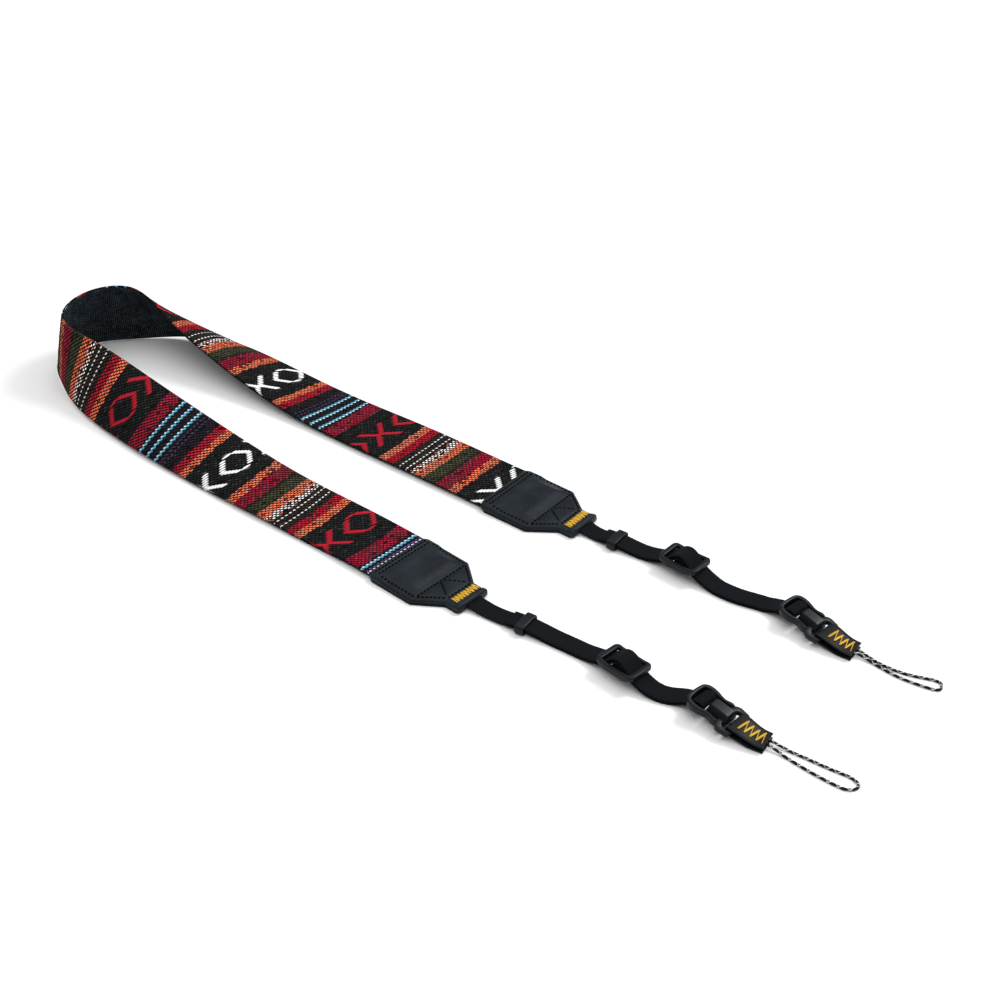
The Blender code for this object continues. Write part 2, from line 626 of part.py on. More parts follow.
def build_cord(arm, spots, height_in_tab, mats):
    """Cord loop from between the tab's leathers, out over the surface and back."""
    route = np.array(spots["cord"], float)
    knots = np.concatenate([[0.0], np.cumsum(np.linalg.norm(np.diff(route, axis=0), axis=1))])
    plan = smooth_curve(knots, route)
    count = int(knots[-1] / CORD_STEP)
    flat = plan(np.linspace(0.0, knots[-1], count))
    end_x = spots["tab_end"][0]
    lift = 1.0 - ease((flat[:, 0] - end_x) / 0.012)
    z = CORD_HEIGHT + (height_in_tab - CORD_HEIGHT) * lift
    curve = bpy.data.curves.new("cord_loop_" + arm, "CURVE")
    curve.dimensions = "3D"
    curve.bevel_depth = CORD_DIAMETER / 2
    curve.bevel_resolution = 2
    curve.use_fill_caps = True
    spline = curve.splines.new("POLY")
    spline.points.add(count - 1)
    for point, (x, y), height in zip(spline.points, flat, z):
        point.co = (x, y, height, 1.0)
    spline.use_smooth = True
    curve.materials.append(mats["cord"])
    made = bpy.data.objects.new("cord_loop_" + arm, curve)
    PARTS.objects.link(made)


def build_arm(arm, mats):
    cap_tip, cap_yaw = build_cap(arm, mats)
    spots = spots_of(arm, cap_tip)
    plan = build_webbing(arm, spots, cap_tip, cap_yaw, mats)
    build_keeper(arm, spots, plan, mats)
    build_slider(arm, spots, plan, mats)
    bar_x, bar_y = spots["bar"]
    where = (bar_x, bar_y, BUCKLE_BAR_HEIGHT)
    yaw = math.radians(ARMS[arm]["buckle_yaw"])
    build_clip(arm, where, yaw, mats)
    build_housing(arm, where, yaw, mats)
    height_in_tab = build_tab(arm, spots, where, yaw, mats)
    build_cord(arm, spots, height_in_tab, mats)


def centre_on_origin():
    """Moves everything so that the strap without its cords has its bottom centre at the origin."""
    bpy.context.view_layer.update()
    graph = bpy.context.evaluated_depsgraph_get()
    low = np.full(3, np.inf)
    high = np.full(3, -np.inf)
    for made in PARTS.objects:
        if made.type != "MESH":
            continue
        mesh = made.evaluated_get(graph).data
        flat = np.empty(3 * len(mesh.vertices))
        mesh.vertices.foreach_get("co", flat)
        low = np.minimum(low, flat.reshape(-1, 3).min(axis=0))
        high = np.maximum(high, flat.reshape(-1, 3).max(axis=0))
    shift = Vector((-0.5 * (low[0] + high[0]), -0.5 * (low[1] + high[1]), -low[2]))
    move = Matrix.Translation(shift)
    for made in list(PARTS.objects) + list(CUTTERS.objects):
        made.data.transform(move)
    return shift


for old in list(bpy.data.objects):
    bpy.data.objects.remove(old, do_unlink=True)

PARTS = bpy.data.collections.new("tapestry_neck_strap")
CUTTERS = bpy.data.collections.new("cutters")
bpy.context.scene.collection.children.link(PARTS)
bpy.context.scene.collection.children.link(CUTTERS)

BAND_HALF = GAP / 2 + max(FACE_THICKNESS, BACKING_THICKNESS)
BAND_END_HEIGHT = CAP_UNDER_LEATHER + GAP + BAND_HALF
CAP_RIM_LOW = CAP_UNDER_LEATHER + GAP
CAP_TOP = BAND_END_HEIGHT + BAND_HALF + GAP + CAP_TOP_LEATHER


def main():
    mats = {
        "face": material("woven_face", (0.12, 0.03, 0.03), 0.9),
        "backing": material("black_webbing_backing", (0.012, 0.013, 0.015), 0.85),
        "leather": material("charcoal_leather", (0.018, 0.023, 0.030), 0.45),
        "leather_under": material("charcoal_leather_under", (0.014, 0.016, 0.020), 0.6),
        "webbing": material("black_webbing", (0.012, 0.014, 0.016), 0.8),
        "plastic": material("black_plastic", (0.015, 0.017, 0.020), 0.35),
        "housing": material("dark_grey_plastic", (0.035, 0.038, 0.042), 0.5),
        "leather_tab": material("black_tab_leather", (0.012, 0.013, 0.016), 0.5),
        "cord": material("flecked_cord", (0.05, 0.05, 0.05), 0.7),
    }
    band_layer("tapestry_band", GAP / 2, GAP / 2 + FACE_THICKNESS, mats["face"])
    band_layer("backing_webbing", -GAP / 2 - BACKING_THICKNESS, -GAP / 2, mats["backing"])
    for arm in ARMS:
        build_arm(arm, mats)
    return centre_on_origin()


SHIFT = main()
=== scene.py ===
"""Looks of a woven neck strap that lies in a U: band, leather caps, webbing, buckles, cords.

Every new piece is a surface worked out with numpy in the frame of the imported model. Sizes are
in metres. Patterns follow each piece's own map "surface": along and across it, in metres.
"""
import math

import bpy
import numpy as np
from bpy.props import FloatProperty, FloatVectorProperty, IntProperty, PointerProperty
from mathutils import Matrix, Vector


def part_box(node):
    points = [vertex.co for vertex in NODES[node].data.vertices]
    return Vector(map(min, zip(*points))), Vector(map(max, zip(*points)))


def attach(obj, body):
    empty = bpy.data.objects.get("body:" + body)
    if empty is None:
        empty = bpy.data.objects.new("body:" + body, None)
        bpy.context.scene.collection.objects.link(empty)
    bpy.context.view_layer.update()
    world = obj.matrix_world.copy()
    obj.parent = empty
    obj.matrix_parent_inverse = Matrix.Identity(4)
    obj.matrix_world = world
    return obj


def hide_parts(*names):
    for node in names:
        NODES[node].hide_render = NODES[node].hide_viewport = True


bl_info = {
    "name": "Woven neck strap",
    "version": (1, 0, 0),
    "blender": (4, 5, 0),
    "location": "View3D > Sidebar > Neck strap",
    "description": "Builds the cloth, leather, stitching and cords of a neck strap round its solid parts",
    "category": "Add Mesh",
}

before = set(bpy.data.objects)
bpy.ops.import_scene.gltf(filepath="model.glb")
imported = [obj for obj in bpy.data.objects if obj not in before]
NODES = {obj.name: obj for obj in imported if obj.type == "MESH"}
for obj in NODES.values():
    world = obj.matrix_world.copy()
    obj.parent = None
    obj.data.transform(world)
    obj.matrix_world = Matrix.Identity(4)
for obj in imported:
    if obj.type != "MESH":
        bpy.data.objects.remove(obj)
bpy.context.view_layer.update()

# Plan of the U, and the route of the band's middle line from the front cap to the rear cap.
# Columns: share of the length, x as a share of LOOP_REACH, y as a share of HALF_SPREAD,
# height as a share of the width, lean in degrees (0 on edge, 90 flat), bend across in degrees.
LOOP_REACH = 0.270
HALF_SPREAD = 0.039
BAND_ROUTE = np.array([
    (0.000, 0.070, -1.052, 0.062, 90, 0),
    (0.035, -0.012, -1.015, 0.062, 90, 0),
    (0.075, -0.105, -0.997, 0.062, 88, 4),
    (0.143, -0.263, -0.998, 0.127, 87, 24),
    (0.211, -0.422, -1.005, 0.211, 78, 37),
    (0.279, -0.582, -1.015, 0.345, 66, 49),
    (0.338, -0.718, -1.002, 0.436, 51, 52),
    (0.386, -0.830, -0.970, 0.516, 30, 40),
    (0.430, -0.922, -0.810, 0.560, 10, 13),
    (0.469, -0.988, -0.391, 0.560, 14, 0),
    (0.508, -0.998, 0.215, 0.540, 10, 4),
    (0.547, -0.950, 0.728, 0.530, 9, 27),
    (0.586, -0.872, 0.985, 0.529, 34, 51),
    (0.630, -0.771, 1.061, 0.453, 58, 48),
    (0.688, -0.638, 1.060, 0.258, 74, 20),
    (0.766, -0.458, 1.035, 0.067, 85, -3),
    (0.873, -0.206, 1.028, 0.058, 90, -4),
    (0.965, 0.010, 1.027, 0.062, 90, 0),
    (1.000, 0.092, 1.022, 0.062, 90, 0),
])

# Gap between neighbours, and sizes of band and cap. The cap narrows from its shoulder to its
# neck, both measured from its strap-side edge. Stitches are turned by the slant, in radians.
GAP = 0.0003
BAND_HALF = GAP / 2 + 0.0010
CAP_UNDER = 0.0009
CAP_LEATHER = 0.0011
CAP_COVER = 0.0080
CAP_LIP = 0.0016
CAP_RIM = 0.0009
CAP_SHOULDER = 0.0287
CAP_NECK = 0.0422
SEAM_SLANT = 0.16
BAND_END_HEIGHT = CAP_UNDER + GAP + BAND_HALF
CAP_LOW = CAP_UNDER + GAP
CAP_TOP = BAND_END_HEIGHT + BAND_HALF + GAP + CAP_LEATHER

# Webbing and hardware sizes that the webbing's route needs.
WEBBING_IN_CAP = 0.0140
WEBBING_FREE_END = 0.0060
KEEPER_LENGTH = 0.0050
KEEPER_WALL = 0.0009
SLIDER_REACH = 0.0225 / 2 - 0.0024
SLIDER_LIFT = 0.0079
SLIDER_DIP = 0.0034
SLIDER_RUN = 0.0120
# Rise of the webbing's upper and lower layer over the slider's bar, and its half length.
HUMP_UPPER = 0.0028
HUMP_LOWER = 0.0021
HUMP_HALF = 0.0046
BUCKLE_RUN = 0.0165
BAR_HEIGHT = 0.0076
BAR_PITCH = math.radians(10.0)
CLIP_REACH = 0.0070
WRAP_RADIUS = 0.0020
WRAP_TILT = math.radians(13.0)
BASE_BAR = (0.0174, 0.0196)
BASE_BAR_LOW = -0.0014
BASE_BAR_HIGH = 0.0008
TAB_LEATHER = 0.0008

# Camera of the photo, in the strap's own plan, and half the floor's side.
CAMERA_PLACE = (0.4990, -0.5762, 0.5507)
CAMERA_LOOK = (-0.5056, 0.6402, -0.5784)
FLOOR_HALF = 25.0

# The two arms. Keeper, slider, sag and bar are measured from the cap's tip, the tab's end from
# the bar and the cord's points from the tab's end: distance along X, and place across. The cap
# reaches cap_lap further over the band than the solid one.
ARMS = {
    "front": {
        "band_end": 0.0,
        "cap_lap": 0.0006,
        "keeper": (0.0318, -0.0424),
        "slider": (0.0883, -0.0416),
        "sag": (0.1123, -0.0419),
        "bar": (0.1321, -0.0402),
        "yaw": math.radians(-5.0),
        "tab_end": (0.0337, -0.0410),
        "cord": [(-0.0070, -0.0395), (0.0020, -0.0390), (0.0165, -0.0378), (0.0335, -0.0366),
                 (0.0410, -0.0366), (0.0442, -0.0388), (0.0428, -0.0426), (0.0367, -0.0444),
                 (0.0203, -0.0438), (0.0040, -0.0422), (-0.0070, -0.0418)],
    },
    "rear": {
        "band_end": 1.0,
        "cap_lap": 0.0021,
        "keeper": (0.0213, 0.0396),
        "slider": (0.0603, 0.0419),
        "sag": (0.0938, 0.0402),
        "bar": (0.1250, 0.0416),
        "yaw": math.radians(-9.0),
        "tab_end": (0.0343, 0.0382),
        "cord": [(-0.0070, 0.0393), (0.0015, 0.0396), (0.0135, 0.0388), (0.0255, 0.0398),
                 (0.0355, 0.0432), (0.0415, 0.0436), (0.0430, 0.0400), (0.0375, 0.0373),
                 (0.0215, 0.0358), (0.0105, 0.0370), (0.0015, 0.0374), (-0.0070, 0.0372)],
    },
}

# Stripes over one repeat of the pattern, in millimetres from the start of a red motif's ground.
STRIPES = [
    (0.0, "ground"), (31.3, "orange"), (36.5, "red"), (41.6, "brown"), (52.9, "white"), (57.0, "orange"),
    (63.0, "olive"), (69.8, "brown"), (71.8, "crimson"), (80.1, "orange"), (85.5, "ground"),
    (116.8, "orange"), (121.8, "red"), (126.9, "night"), (155.7, "crimson"),
]
# Lines of single dashes across the band: place in the repeat and half width.
WHITE_LINES = [(46.2, 0.40), (50.7, 0.42)]
PLUM_LINES = [(134.6, 0.36), (137.2, 0.30)]
BLUE_LINES = [140.8, 147.2, 153.4]
DASH_PITCH = 2.7
# Rows of the weave in one repeat, and the places of the two motifs' middles in it, in rows.
ROWS = 130
MOTIF_ROWS = (13.5, 80.0)
# Place across the band of the diamond's middle, as a share of the width, for each motif along it:
# start of its reach in millimetres along the band, and place.
DIAMOND_PLACES = [(0, 0.215), (75, 0.082), (160, -0.113), (245, -0.30), (330, 0.22), (415, -0.215),
                  (495, -0.560), (580, -0.525)]
# Diamonds and crosses take turns across the band, a step apart. Height is half a diamond's size
# across the band and reach half a motif's size along it, where its last row is one long tip.
MOTIF_STEP = 23.4
DIAMOND_HEIGHT = 10.3
DIAMOND_SLOPE = 0.98
DIAMOND_REACH = 6.9
DIAMOND_TIP_ROW = 1.3
DIAMOND_TIP_HALF = 3.7
CROSS_SLOPE = 0.90
CROSS_START = 1.1
CROSS_REACH = 8.2
CROSS_BAR_HALF = 3.4
FLOAT_HALF = 2.15


def linear(red, green, blue):
    """Screen colour of 0 to 255 as the linear values a shader takes."""
    part = np.array([red, green, blue]) / 255.0
    return tuple(np.where(part <= 0.04045, part / 12.92, ((part + 0.055) / 1.055) ** 2.4).tolist())


class NECKSTRAP_PG_band(bpy.types.PropertyGroup):
    """Woven band and its backing"""
    width: FloatProperty(name="Width", description="Width of the band", default=0.038, unit="LENGTH")
    length: FloatProperty(name="Length", description="Length between its ends", default=0.633,
                          unit="LENGTH")
    repeat: FloatProperty(name="Repeat", description="Length of one repeat of the stripes", default=0.1651,
                          unit="LENGTH")
    start: FloatProperty(name="Start", description="Where the first red motif's ground starts",
                         default=0.0256, unit="LENGTH")
    ground: FloatVectorProperty(name="Ground", description="Dark yarn", subtype="COLOR",
                                default=linear(20, 20, 21))
    red: FloatVectorProperty(name="Red", description="Red yarn", subtype="COLOR",
                             default=linear(172, 30, 48))
    orange: FloatVectorProperty(name="Orange", description="Orange yarn", subtype="COLOR",
                                default=linear(228, 114, 80))
    crimson: FloatVectorProperty(name="Crimson", description="Crimson yarn", subtype="COLOR",
                                 default=linear(149, 30, 52))
    motif: FloatVectorProperty(name="Motif", description="Red yarn of the motifs", subtype="COLOR",
                               default=linear(172, 29, 46))
    olive: FloatVectorProperty(name="Olive", description="Olive yarn", subtype="COLOR",
                               default=linear(66, 66, 48))
    blue: FloatVectorProperty(name="Blue", description="Blue yarn", subtype="COLOR",
                              default=linear(78, 158, 192))
    white: FloatVectorProperty(name="White", description="White yarn", subtype="COLOR",
                               default=linear(238, 238, 238))


class NECKSTRAP_PG_leather(bpy.types.PropertyGroup):
    """Leather caps and tabs"""
    width: FloatProperty(name="Cap width", description="Width of a cap", default=0.0415, unit="LENGTH")
    length: FloatProperty(name="Cap length", description="Length of a cap", default=0.0504, unit="LENGTH")
    stitch: FloatProperty(name="Stitch", description="Pitch of the stitches", default=0.0022,
                          unit="LENGTH")
    padding: FloatProperty(name="Padding", description="Rise of the padded panel", default=0.0010,
                           unit="LENGTH")
    colour: FloatVectorProperty(name="Leather", description="Leather colour", subtype="COLOR",
                                default=linear(21, 28, 34))
    thread: FloatVectorProperty(name="Tack thread", description="Yellow thread", subtype="COLOR",
                                default=linear(208, 164, 46))
    tacks: IntProperty(name="Tack stitches", description="Stitches in a bar tack", default=16, min=4)


class NECKSTRAP_PG_webbing(bpy.types.PropertyGroup):
    """Narrow webbing and hardware"""
    width: FloatProperty(name="Width", description="Width of the webbing", default=0.0104, unit="LENGTH")
    thickness: FloatProperty(name="Thickness", description="Its thickness", default=0.0010, unit="LENGTH")
    rib: FloatProperty(name="Rib", description="Pitch of its ribs", default=0.0011, unit="LENGTH")
    colour: FloatVectorProperty(name="Colour", description="Webbing colour", subtype="COLOR",
                                default=linear(15, 18, 21))
    plastic: FloatVectorProperty(name="Plastic", description="Clip and slider colour", subtype="COLOR",
                                 default=linear(16, 20, 26))
    housing: FloatVectorProperty(name="Housing", description="Buckle housing colour", subtype="COLOR",
                                 default=linear(18, 24, 27))


class NECKSTRAP_PG_cord(bpy.types.PropertyGroup):
    """Cord loops"""
    diameter: FloatProperty(name="Diameter", description="Diameter of the cord", default=0.0013,
                            unit="LENGTH")
    fleck: FloatProperty(name="Fleck", description="Pitch of the white flecks", default=0.0050,
                         unit="LENGTH")


class NECKSTRAP_PG_stage(bpy.types.PropertyGroup):
    """Floor, light and camera"""
    lens: FloatProperty(name="Lens", description="Focal length in millimetres", default=65.1)
    key: FloatProperty(name="Key light", description="Power of the key light", default=15.0, unit="POWER")
    sky: FloatProperty(name="Sky", description="Strength of the light from all round", default=1.0)


# Curves, frames and mesh writing

def smooth_curve(knots, values):
    """Natural cubic through values at knots: piecewise cubic with even slope and curvature."""
    t = np.asarray(knots, float)
    v = np.asarray(values, float).reshape(len(t), -1)
    step = np.diff(t)
    system = np.eye(len(t))
    right = np.zeros_like(v)
    for i in range(1, len(t) - 1):
        system[i, i - 1:i + 2] = (step[i - 1], 2.0 * (step[i - 1] + step[i]), step[i])
        right[i] = 6.0 * ((v[i + 1] - v[i]) / step[i] - (v[i] - v[i - 1]) / step[i - 1])
    curvature = np.linalg.solve(system, right)

    def at(s):
        s = np.atleast_1d(np.asarray(s, float))
        i = np.clip(np.searchsorted(t, s) - 1, 0, len(t) - 2)
        a = ((t[i + 1] - s) / step[i])[:, None]
        b = 1.0 - a
        bulge = (a ** 3 - a) * curvature[i] + (b ** 3 - b) * curvature[i + 1]
        return a * v[i] + b * v[i + 1] + bulge * (step[i] ** 2)[:, None] / 6.0

    return at


def ease(x):
    """0 to 1 with level ends: 3 x squared minus 2 x cubed."""
    x = np.clip(x, 0.0, 1.0)
    return x * x * (3.0 - 2.0 * x)


def evened(line, step):
    """The same line with points an even step apart."""
    line = np.asarray(line, float)
    far = np.concatenate([[0.0], np.cumsum(np.linalg.norm(np.diff(line, axis=0), axis=1))])
    where = np.linspace(0.0, far[-1], int(far[-1] / step) + 1)
    return np.stack([np.interp(where, far, line[:, k]) for k in range(line.shape[1])], 1), where


def write_mesh(name, points, quads, ends, uv, mat, smooth=50.0):
    """Mesh object from points, rows of four corner numbers and end faces, turned to face out."""
    a, b, c, d = (points[quads[:, k]] for k in range(4))
    volume = (np.einsum("ij,ij->i", a, np.cross(b, c)) + np.einsum("ij,ij->i", a, np.cross(c, d))).sum()
    if volume < 0.0:
        quads = quads[:, ::-1]
        ends = [end[::-1] for end in ends]
        uv = None if uv is None else uv[:, ::-1]
    mesh = bpy.data.meshes.new(name)
    mesh.from_pydata(points.tolist(), [], quads.tolist() + [list(end) for end in ends])
    layer = mesh.uv_layers.new(name="surface")
    flat = np.zeros((len(mesh.loops), 2))
    if uv is not None:
        flat[:4 * len(quads)] = uv.reshape(-1, 2)
        if ends:
            flat[4 * len(quads):] = uv.reshape(-1, 2)[0]
    layer.data.foreach_set("uv", flat.ravel())
    mesh.materials.append(mat)
    mesh.shade_smooth()
    mesh.set_sharp_from_angle(angle=math.radians(smooth))
    made = bpy.data.objects.new(name, mesh)
    bpy.context.scene.collection.objects.link(made)
    return made


def tube(name, rings, mat, uv=None, smooth=50.0, loop=False):
    """Closed body of rings (n along, m round, 3): each ring is joined to the next, ends filled.

    A loop joins its last ring to its first instead. The map uv has one column more than the
    ring, so that it does not run back over the seam.
    """
    n, m = rings.shape[:2]
    i, j = np.meshgrid(np.arange(n if loop else n - 1), np.arange(m), indexing="ij")
    k = (j + 1) % m
    h = (i + 1) % n
    quads = np.stack([i * m + j, i * m + k, h * m + k, h * m + j], -1).reshape(-1, 4)
    if uv is not None:
        uv = np.stack([uv[:-1, :-1], uv[:-1, 1:], uv[1:, 1:], uv[1:, :-1]], 2).reshape(-1, 4, 2)
    ends = [] if loop else [list(range(m))[::-1], list(range((n - 1) * m, n * m))]
    return write_mesh(name, rings.reshape(-1, 3), quads, ends, uv, mat, smooth)


def rounded_rectangle(half_a, half_b, corner, steps=5, sides=4):
    """Outline of a rectangle with quarter-circle corners, the same count for every size."""
    turn = np.linspace(0.0, 0.5 * math.pi, steps)
    runs = []
    for i, (a, b) in enumerate(((1, 1), (-1, 1), (-1, -1), (1, -1))):
        angle = turn + i * 0.5 * math.pi
        runs.append(np.stack([a * (half_a - corner) + corner * np.cos(angle),
                              b * (half_b - corner) + corner * np.sin(angle)], 1))
    outline = []
    for run, after in zip(runs, runs[1:] + runs[:1]):
        share = np.linspace(0.0, 1.0, sides + 2)[1:-1, None]
        outline += [run, run[-1] * (1.0 - share) + after[0] * share]
    return np.concatenate(outline)


def bar_rings(outer, inner, low, high, power=4.5, count=16):
    """Rings of a bar between two outlines and two heights.

    Its section is a superellipse: cosine and sine to the power 2 / power, signs kept, reach from
    the inner outline to the outer one and from low to high.
    """
    angle = (np.arange(count) + 0.5) * 2.0 * math.pi / count
    wide, tall = (np.sign(f(angle)) * np.abs(f(angle)) ** (2.0 / power) for f in (np.cos, np.sin))
    low, high = (np.broadcast_to(z, len(outer))[:, None] for z in (low, high))
    flat = inner[:, None, :] + (outer - inner)[:, None, :] * (0.5 + 0.5 * wide)[None, :, None]
    return np.concatenate([flat, (0.5 * (low + high) + 0.5 * (high - low) * tall[None, :])[..., None]], -1)


def mirrored(table):
    """A half outline, from one end on the middle line to the other, with its mirror image added."""
    table = np.asarray(table, float)
    other = table[-2:0:-1] if table[0, 1] == 0.0 else table[-2::-1]
    return np.concatenate([table, other * np.array([1.0, -1.0] * 2 + [1.0] * (table.shape[1] - 4))])


def smoothed(table, count):
    """More rows of a table of places, along a natural cubic over the length of its first two."""
    far = np.concatenate([[0.0], np.cumsum(np.linalg.norm(np.diff(table[:, :2], axis=0), axis=1) + 1e-5)])
    return smooth_curve(far, table)(np.linspace(0.0, far[-1], count))


def stitches(name, centres, along, normal, length, width, height, mat, bow=0.0):
    """Many small threads in one mesh, each a rounded rod.

    A rod is rings of six points whose radius follows the fourth root of one minus the place to
    the fourth, and whose middle may be bowed up by a parabola.
    """
    place = np.array([-1.0, -0.88, -0.45, 0.0, 0.45, 0.88, 1.0])
    radius = np.array([0.45, 0.82, 1.0, 1.0, 1.0, 0.82, 0.45])
    angle = np.linspace(0.0, 2.0 * math.pi, 7)[:-1]
    side = np.cross(normal, along)
    n, r, m = len(centres), len(place), len(angle)
    a = np.broadcast_to(place[:, None], (r, m)) * 0.5
    b = radius[:, None] * np.cos(angle)[None, :] * 0.5
    c = radius[:, None] * np.sin(angle)[None, :] * 0.5
    length, width, height = (np.broadcast_to(x, n)[:, None, None] for x in (length, width, height))
    rise = bow * (1.0 - place[:, None] ** 2)
    points = (centres[:, None, None, :] + (a[None] * length)[..., None] * along[:, None, None, :]
              + (b[None] * width)[..., None] * side[:, None, None, :]
              + (c[None] * height + rise[None])[..., None] * normal[:, None, None, :])
    i, j = np.meshgrid(np.arange(r - 1), np.arange(m), indexing="ij")
    k = (j + 1) % m
    quads = np.stack([i * m + j, i * m + k, (i + 1) * m + k, (i + 1) * m + j], -1).reshape(-1, 4)
    first = np.array([[0, 1, 2, 3], [0, 3, 4, 5]])
    last = (first + (r - 1) * m)[:, ::-1]
    one = np.concatenate([quads, first[:, ::-1], last[:, ::-1]])
    if np.linalg.det(np.stack([along[0], side[0], normal[0]])) < 0.0:
        one = one[:, ::-1]
    every = (one[None] + (np.arange(n) * r * m)[:, None, None]).reshape(-1, 4)
    number = np.repeat(np.arange(n), len(one))
    uv = np.stack([np.repeat((number * 0.61803) % 1.0, 4).reshape(-1, 4), np.zeros((len(every), 4))], -1)
    return write_mesh(name, points.reshape(-1, 3), every, [], uv, mat)


def band_frame(share, size):
    """Middle line, tangent, inward and up directions, lean and bend of the band at shares."""
    curve = smooth_curve(BAND_ROUTE[:, 0], BAND_ROUTE[:, 1:])
    rows = curve(share)
    ahead = curve(np.clip(share + 1e-4, 0.0, 1.0))
    behind = curve(np.clip(share - 1e-4, 0.0, 1.0))
    scale = np.array([LOOP_REACH, HALF_SPREAD, size.width])
    middle = rows[:, :3] * scale
    tangent = (ahead[:, :3] - behind[:, :3]) * scale
    free = ease((np.minimum(share, 1.0 - share) * size.length - 1.6 * CAP_COVER) / (3.0 * CAP_COVER))
    tangent[:, 2] *= free
    tangent /= np.linalg.norm(tangent, axis=1)[:, None]
    inward = np.stack([tangent[:, 1], -tangent[:, 0], np.zeros(len(share))], 1)
    inward /= np.linalg.norm(inward, axis=1)[:, None]
    up = np.cross(inward, tangent)
    lean = np.radians(90.0 + (rows[:, 3] - 90.0) * free)
    bend = np.radians(rows[:, 4]) * free
    middle[:, 2] = BAND_END_HEIGHT + (middle[:, 2] - BAND_END_HEIGHT) * free
    return middle, tangent, inward, up, lean, bend


def band_points(share, across, offset, size):
    """Points of the band. The section is an arc: at v = across * width it points along
    lean + bend * across, so the point lies v * sinc(x) along lean + x, x = bend * across / 2.
    Offset runs outward. Both may be one row for all sections or a row for each.
    """
    middle, _, inward, up, lean, bend = band_frame(share, size)
    half = 0.5 * bend[:, None] * across
    chord = across * size.width * np.sinc(half / math.pi)
    face = lean[:, None] + 2.0 * half
    along_up = chord * np.cos(lean[:, None] + half) + offset * np.sin(face)
    along_in = chord * np.sin(lean[:, None] + half) - offset * np.cos(face)
    return (middle[:, None, :] + along_up[..., None] * up[:, None, :]
            + along_in[..., None] * inward[:, None, :])


def band_seat(share, size):
    """Height by which each section is raised to stay above the surface."""
    across = np.linspace(-0.5, 0.5, 7)[None, :]
    both = [band_points(share, across, side * BAND_HALF, size)[..., 2] for side in (-1.0, 1.0)]
    return np.maximum(0.0, -np.concatenate(both, 1).min(axis=1))


def frame_shift(size):
    """Move from the strap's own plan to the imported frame, from the box of the CAD band."""
    share = np.linspace(0.0, 1.0, 85)
    across = np.linspace(-0.5, 0.5, 7)[None, :]
    grids = np.concatenate([band_points(share, across, GAP / 2 + t, size) for t in (0.0, 0.001)])
    flat = grids.reshape(-1, 3)
    low, high = (np.array(corner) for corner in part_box("tapestry_band"))
    move = 0.5 * (low + high) - 0.5 * (flat.min(axis=0) + flat.max(axis=0))
    move[2] = 0.0
    return move


def cap_place(arm, size):
    """Start point of the arm's cap, its direction away from the band, and its side direction."""
    end = ARMS[arm]["band_end"]
    middle, tangent, *_ = band_frame(np.array([end]), size)
    away = tangent[0] * (1.0 if end == 1.0 else -1.0)
    start = middle[0] - away * CAP_COVER
    start[2] = 0.0
    return start, away, np.array([-away[1], away[0], 0.0])


def arm_spots(arm, size, leather):
    """Plan points of the arm's pieces, from the tip of its cap."""
    start, away, _ = cap_place(arm, size)
    tip = start + away * leather.length
    row = ARMS[arm]
    spots = {name: (tip[0] + row[name][0], row[name][1]) for name in ("keeper", "slider", "sag", "bar")}
    spots["tip"] = tip
    spots["away"] = away
    spots["tab_end"] = (spots["bar"][0] + row["tab_end"][0], row["tab_end"][1])
    spots["cord"] = [(spots["tab_end"][0] + x, y) for x, y in row["cord"]]
    return spots


# Shader building

class Wire:
    """A shader value that the usual signs work on, each sign adding one Math node."""

    def __init__(self, tree, socket):
        self.tree = tree
        self.socket = socket

    def op(self, operation, *others):
        node = self.tree.nodes.new("ShaderNodeMath")
        node.operation = operation
        for place, value in enumerate((self, *others)):
            if isinstance(value, Wire):
                self.tree.links.new(value.socket, node.inputs[place])
            else:
                node.inputs[place].default_value = value
        return Wire(self.tree, node.outputs[0])

    def __add__(self, other):
        return self.op("ADD", other)

    def __sub__(self, other):
        return self.op("SUBTRACT", other)

    def __mul__(self, other):
        return self.op("MULTIPLY", other)

    def __truediv__(self, other):
        return self.op("DIVIDE", other)

    def rise(self, low, high):
        """0 below low, 1 above high, eased between."""
        node = self.tree.nodes.new("ShaderNodeMapRange")
        node.interpolation_type = "SMOOTHSTEP"
        self.tree.links.new(self.socket, node.inputs["Value"])
        node.inputs["From Min"].default_value = low
        node.inputs["From Max"].default_value = high
        return Wire(self.tree, node.outputs[0])

    def near(self, centre, half, soft=0.08):
        """1 within half of centre, falling to 0 over soft."""
        away = (self - centre).op("ABSOLUTE")
        return (away * -1.0).rise(-half - soft, -half + soft)


def map_wires(tree):
    """Along and across wires of the piece's own map, in millimetres."""
    node = tree.nodes.new("ShaderNodeUVMap")
    node.uv_map = "surface"
    split = tree.nodes.new("ShaderNodeSeparateXYZ")
    tree.links.new(node.outputs[0], split.inputs[0])
    return Wire(tree, split.outputs[0]) * 1000.0, Wire(tree, split.outputs[1]) * 1000.0


def object_vector(tree, scale):
    """Object coordinates times scale."""
    node = tree.nodes.new("ShaderNodeTexCoord")
    mapping = tree.nodes.new("ShaderNodeMapping")
    mapping.inputs["Scale"].default_value = scale
    tree.links.new(node.outputs["Object"], mapping.inputs["Vector"])
    return mapping.outputs[0]


def joined(tree, x, y, z=0.0):
    """Vector of three values, wires or numbers."""
    node = tree.nodes.new("ShaderNodeCombineXYZ")
    for place, value in enumerate((x, y, z)):
        if isinstance(value, Wire):
            tree.links.new(value.socket, node.inputs[place])
        else:
            node.inputs[place].default_value = value
    return node.outputs[0]


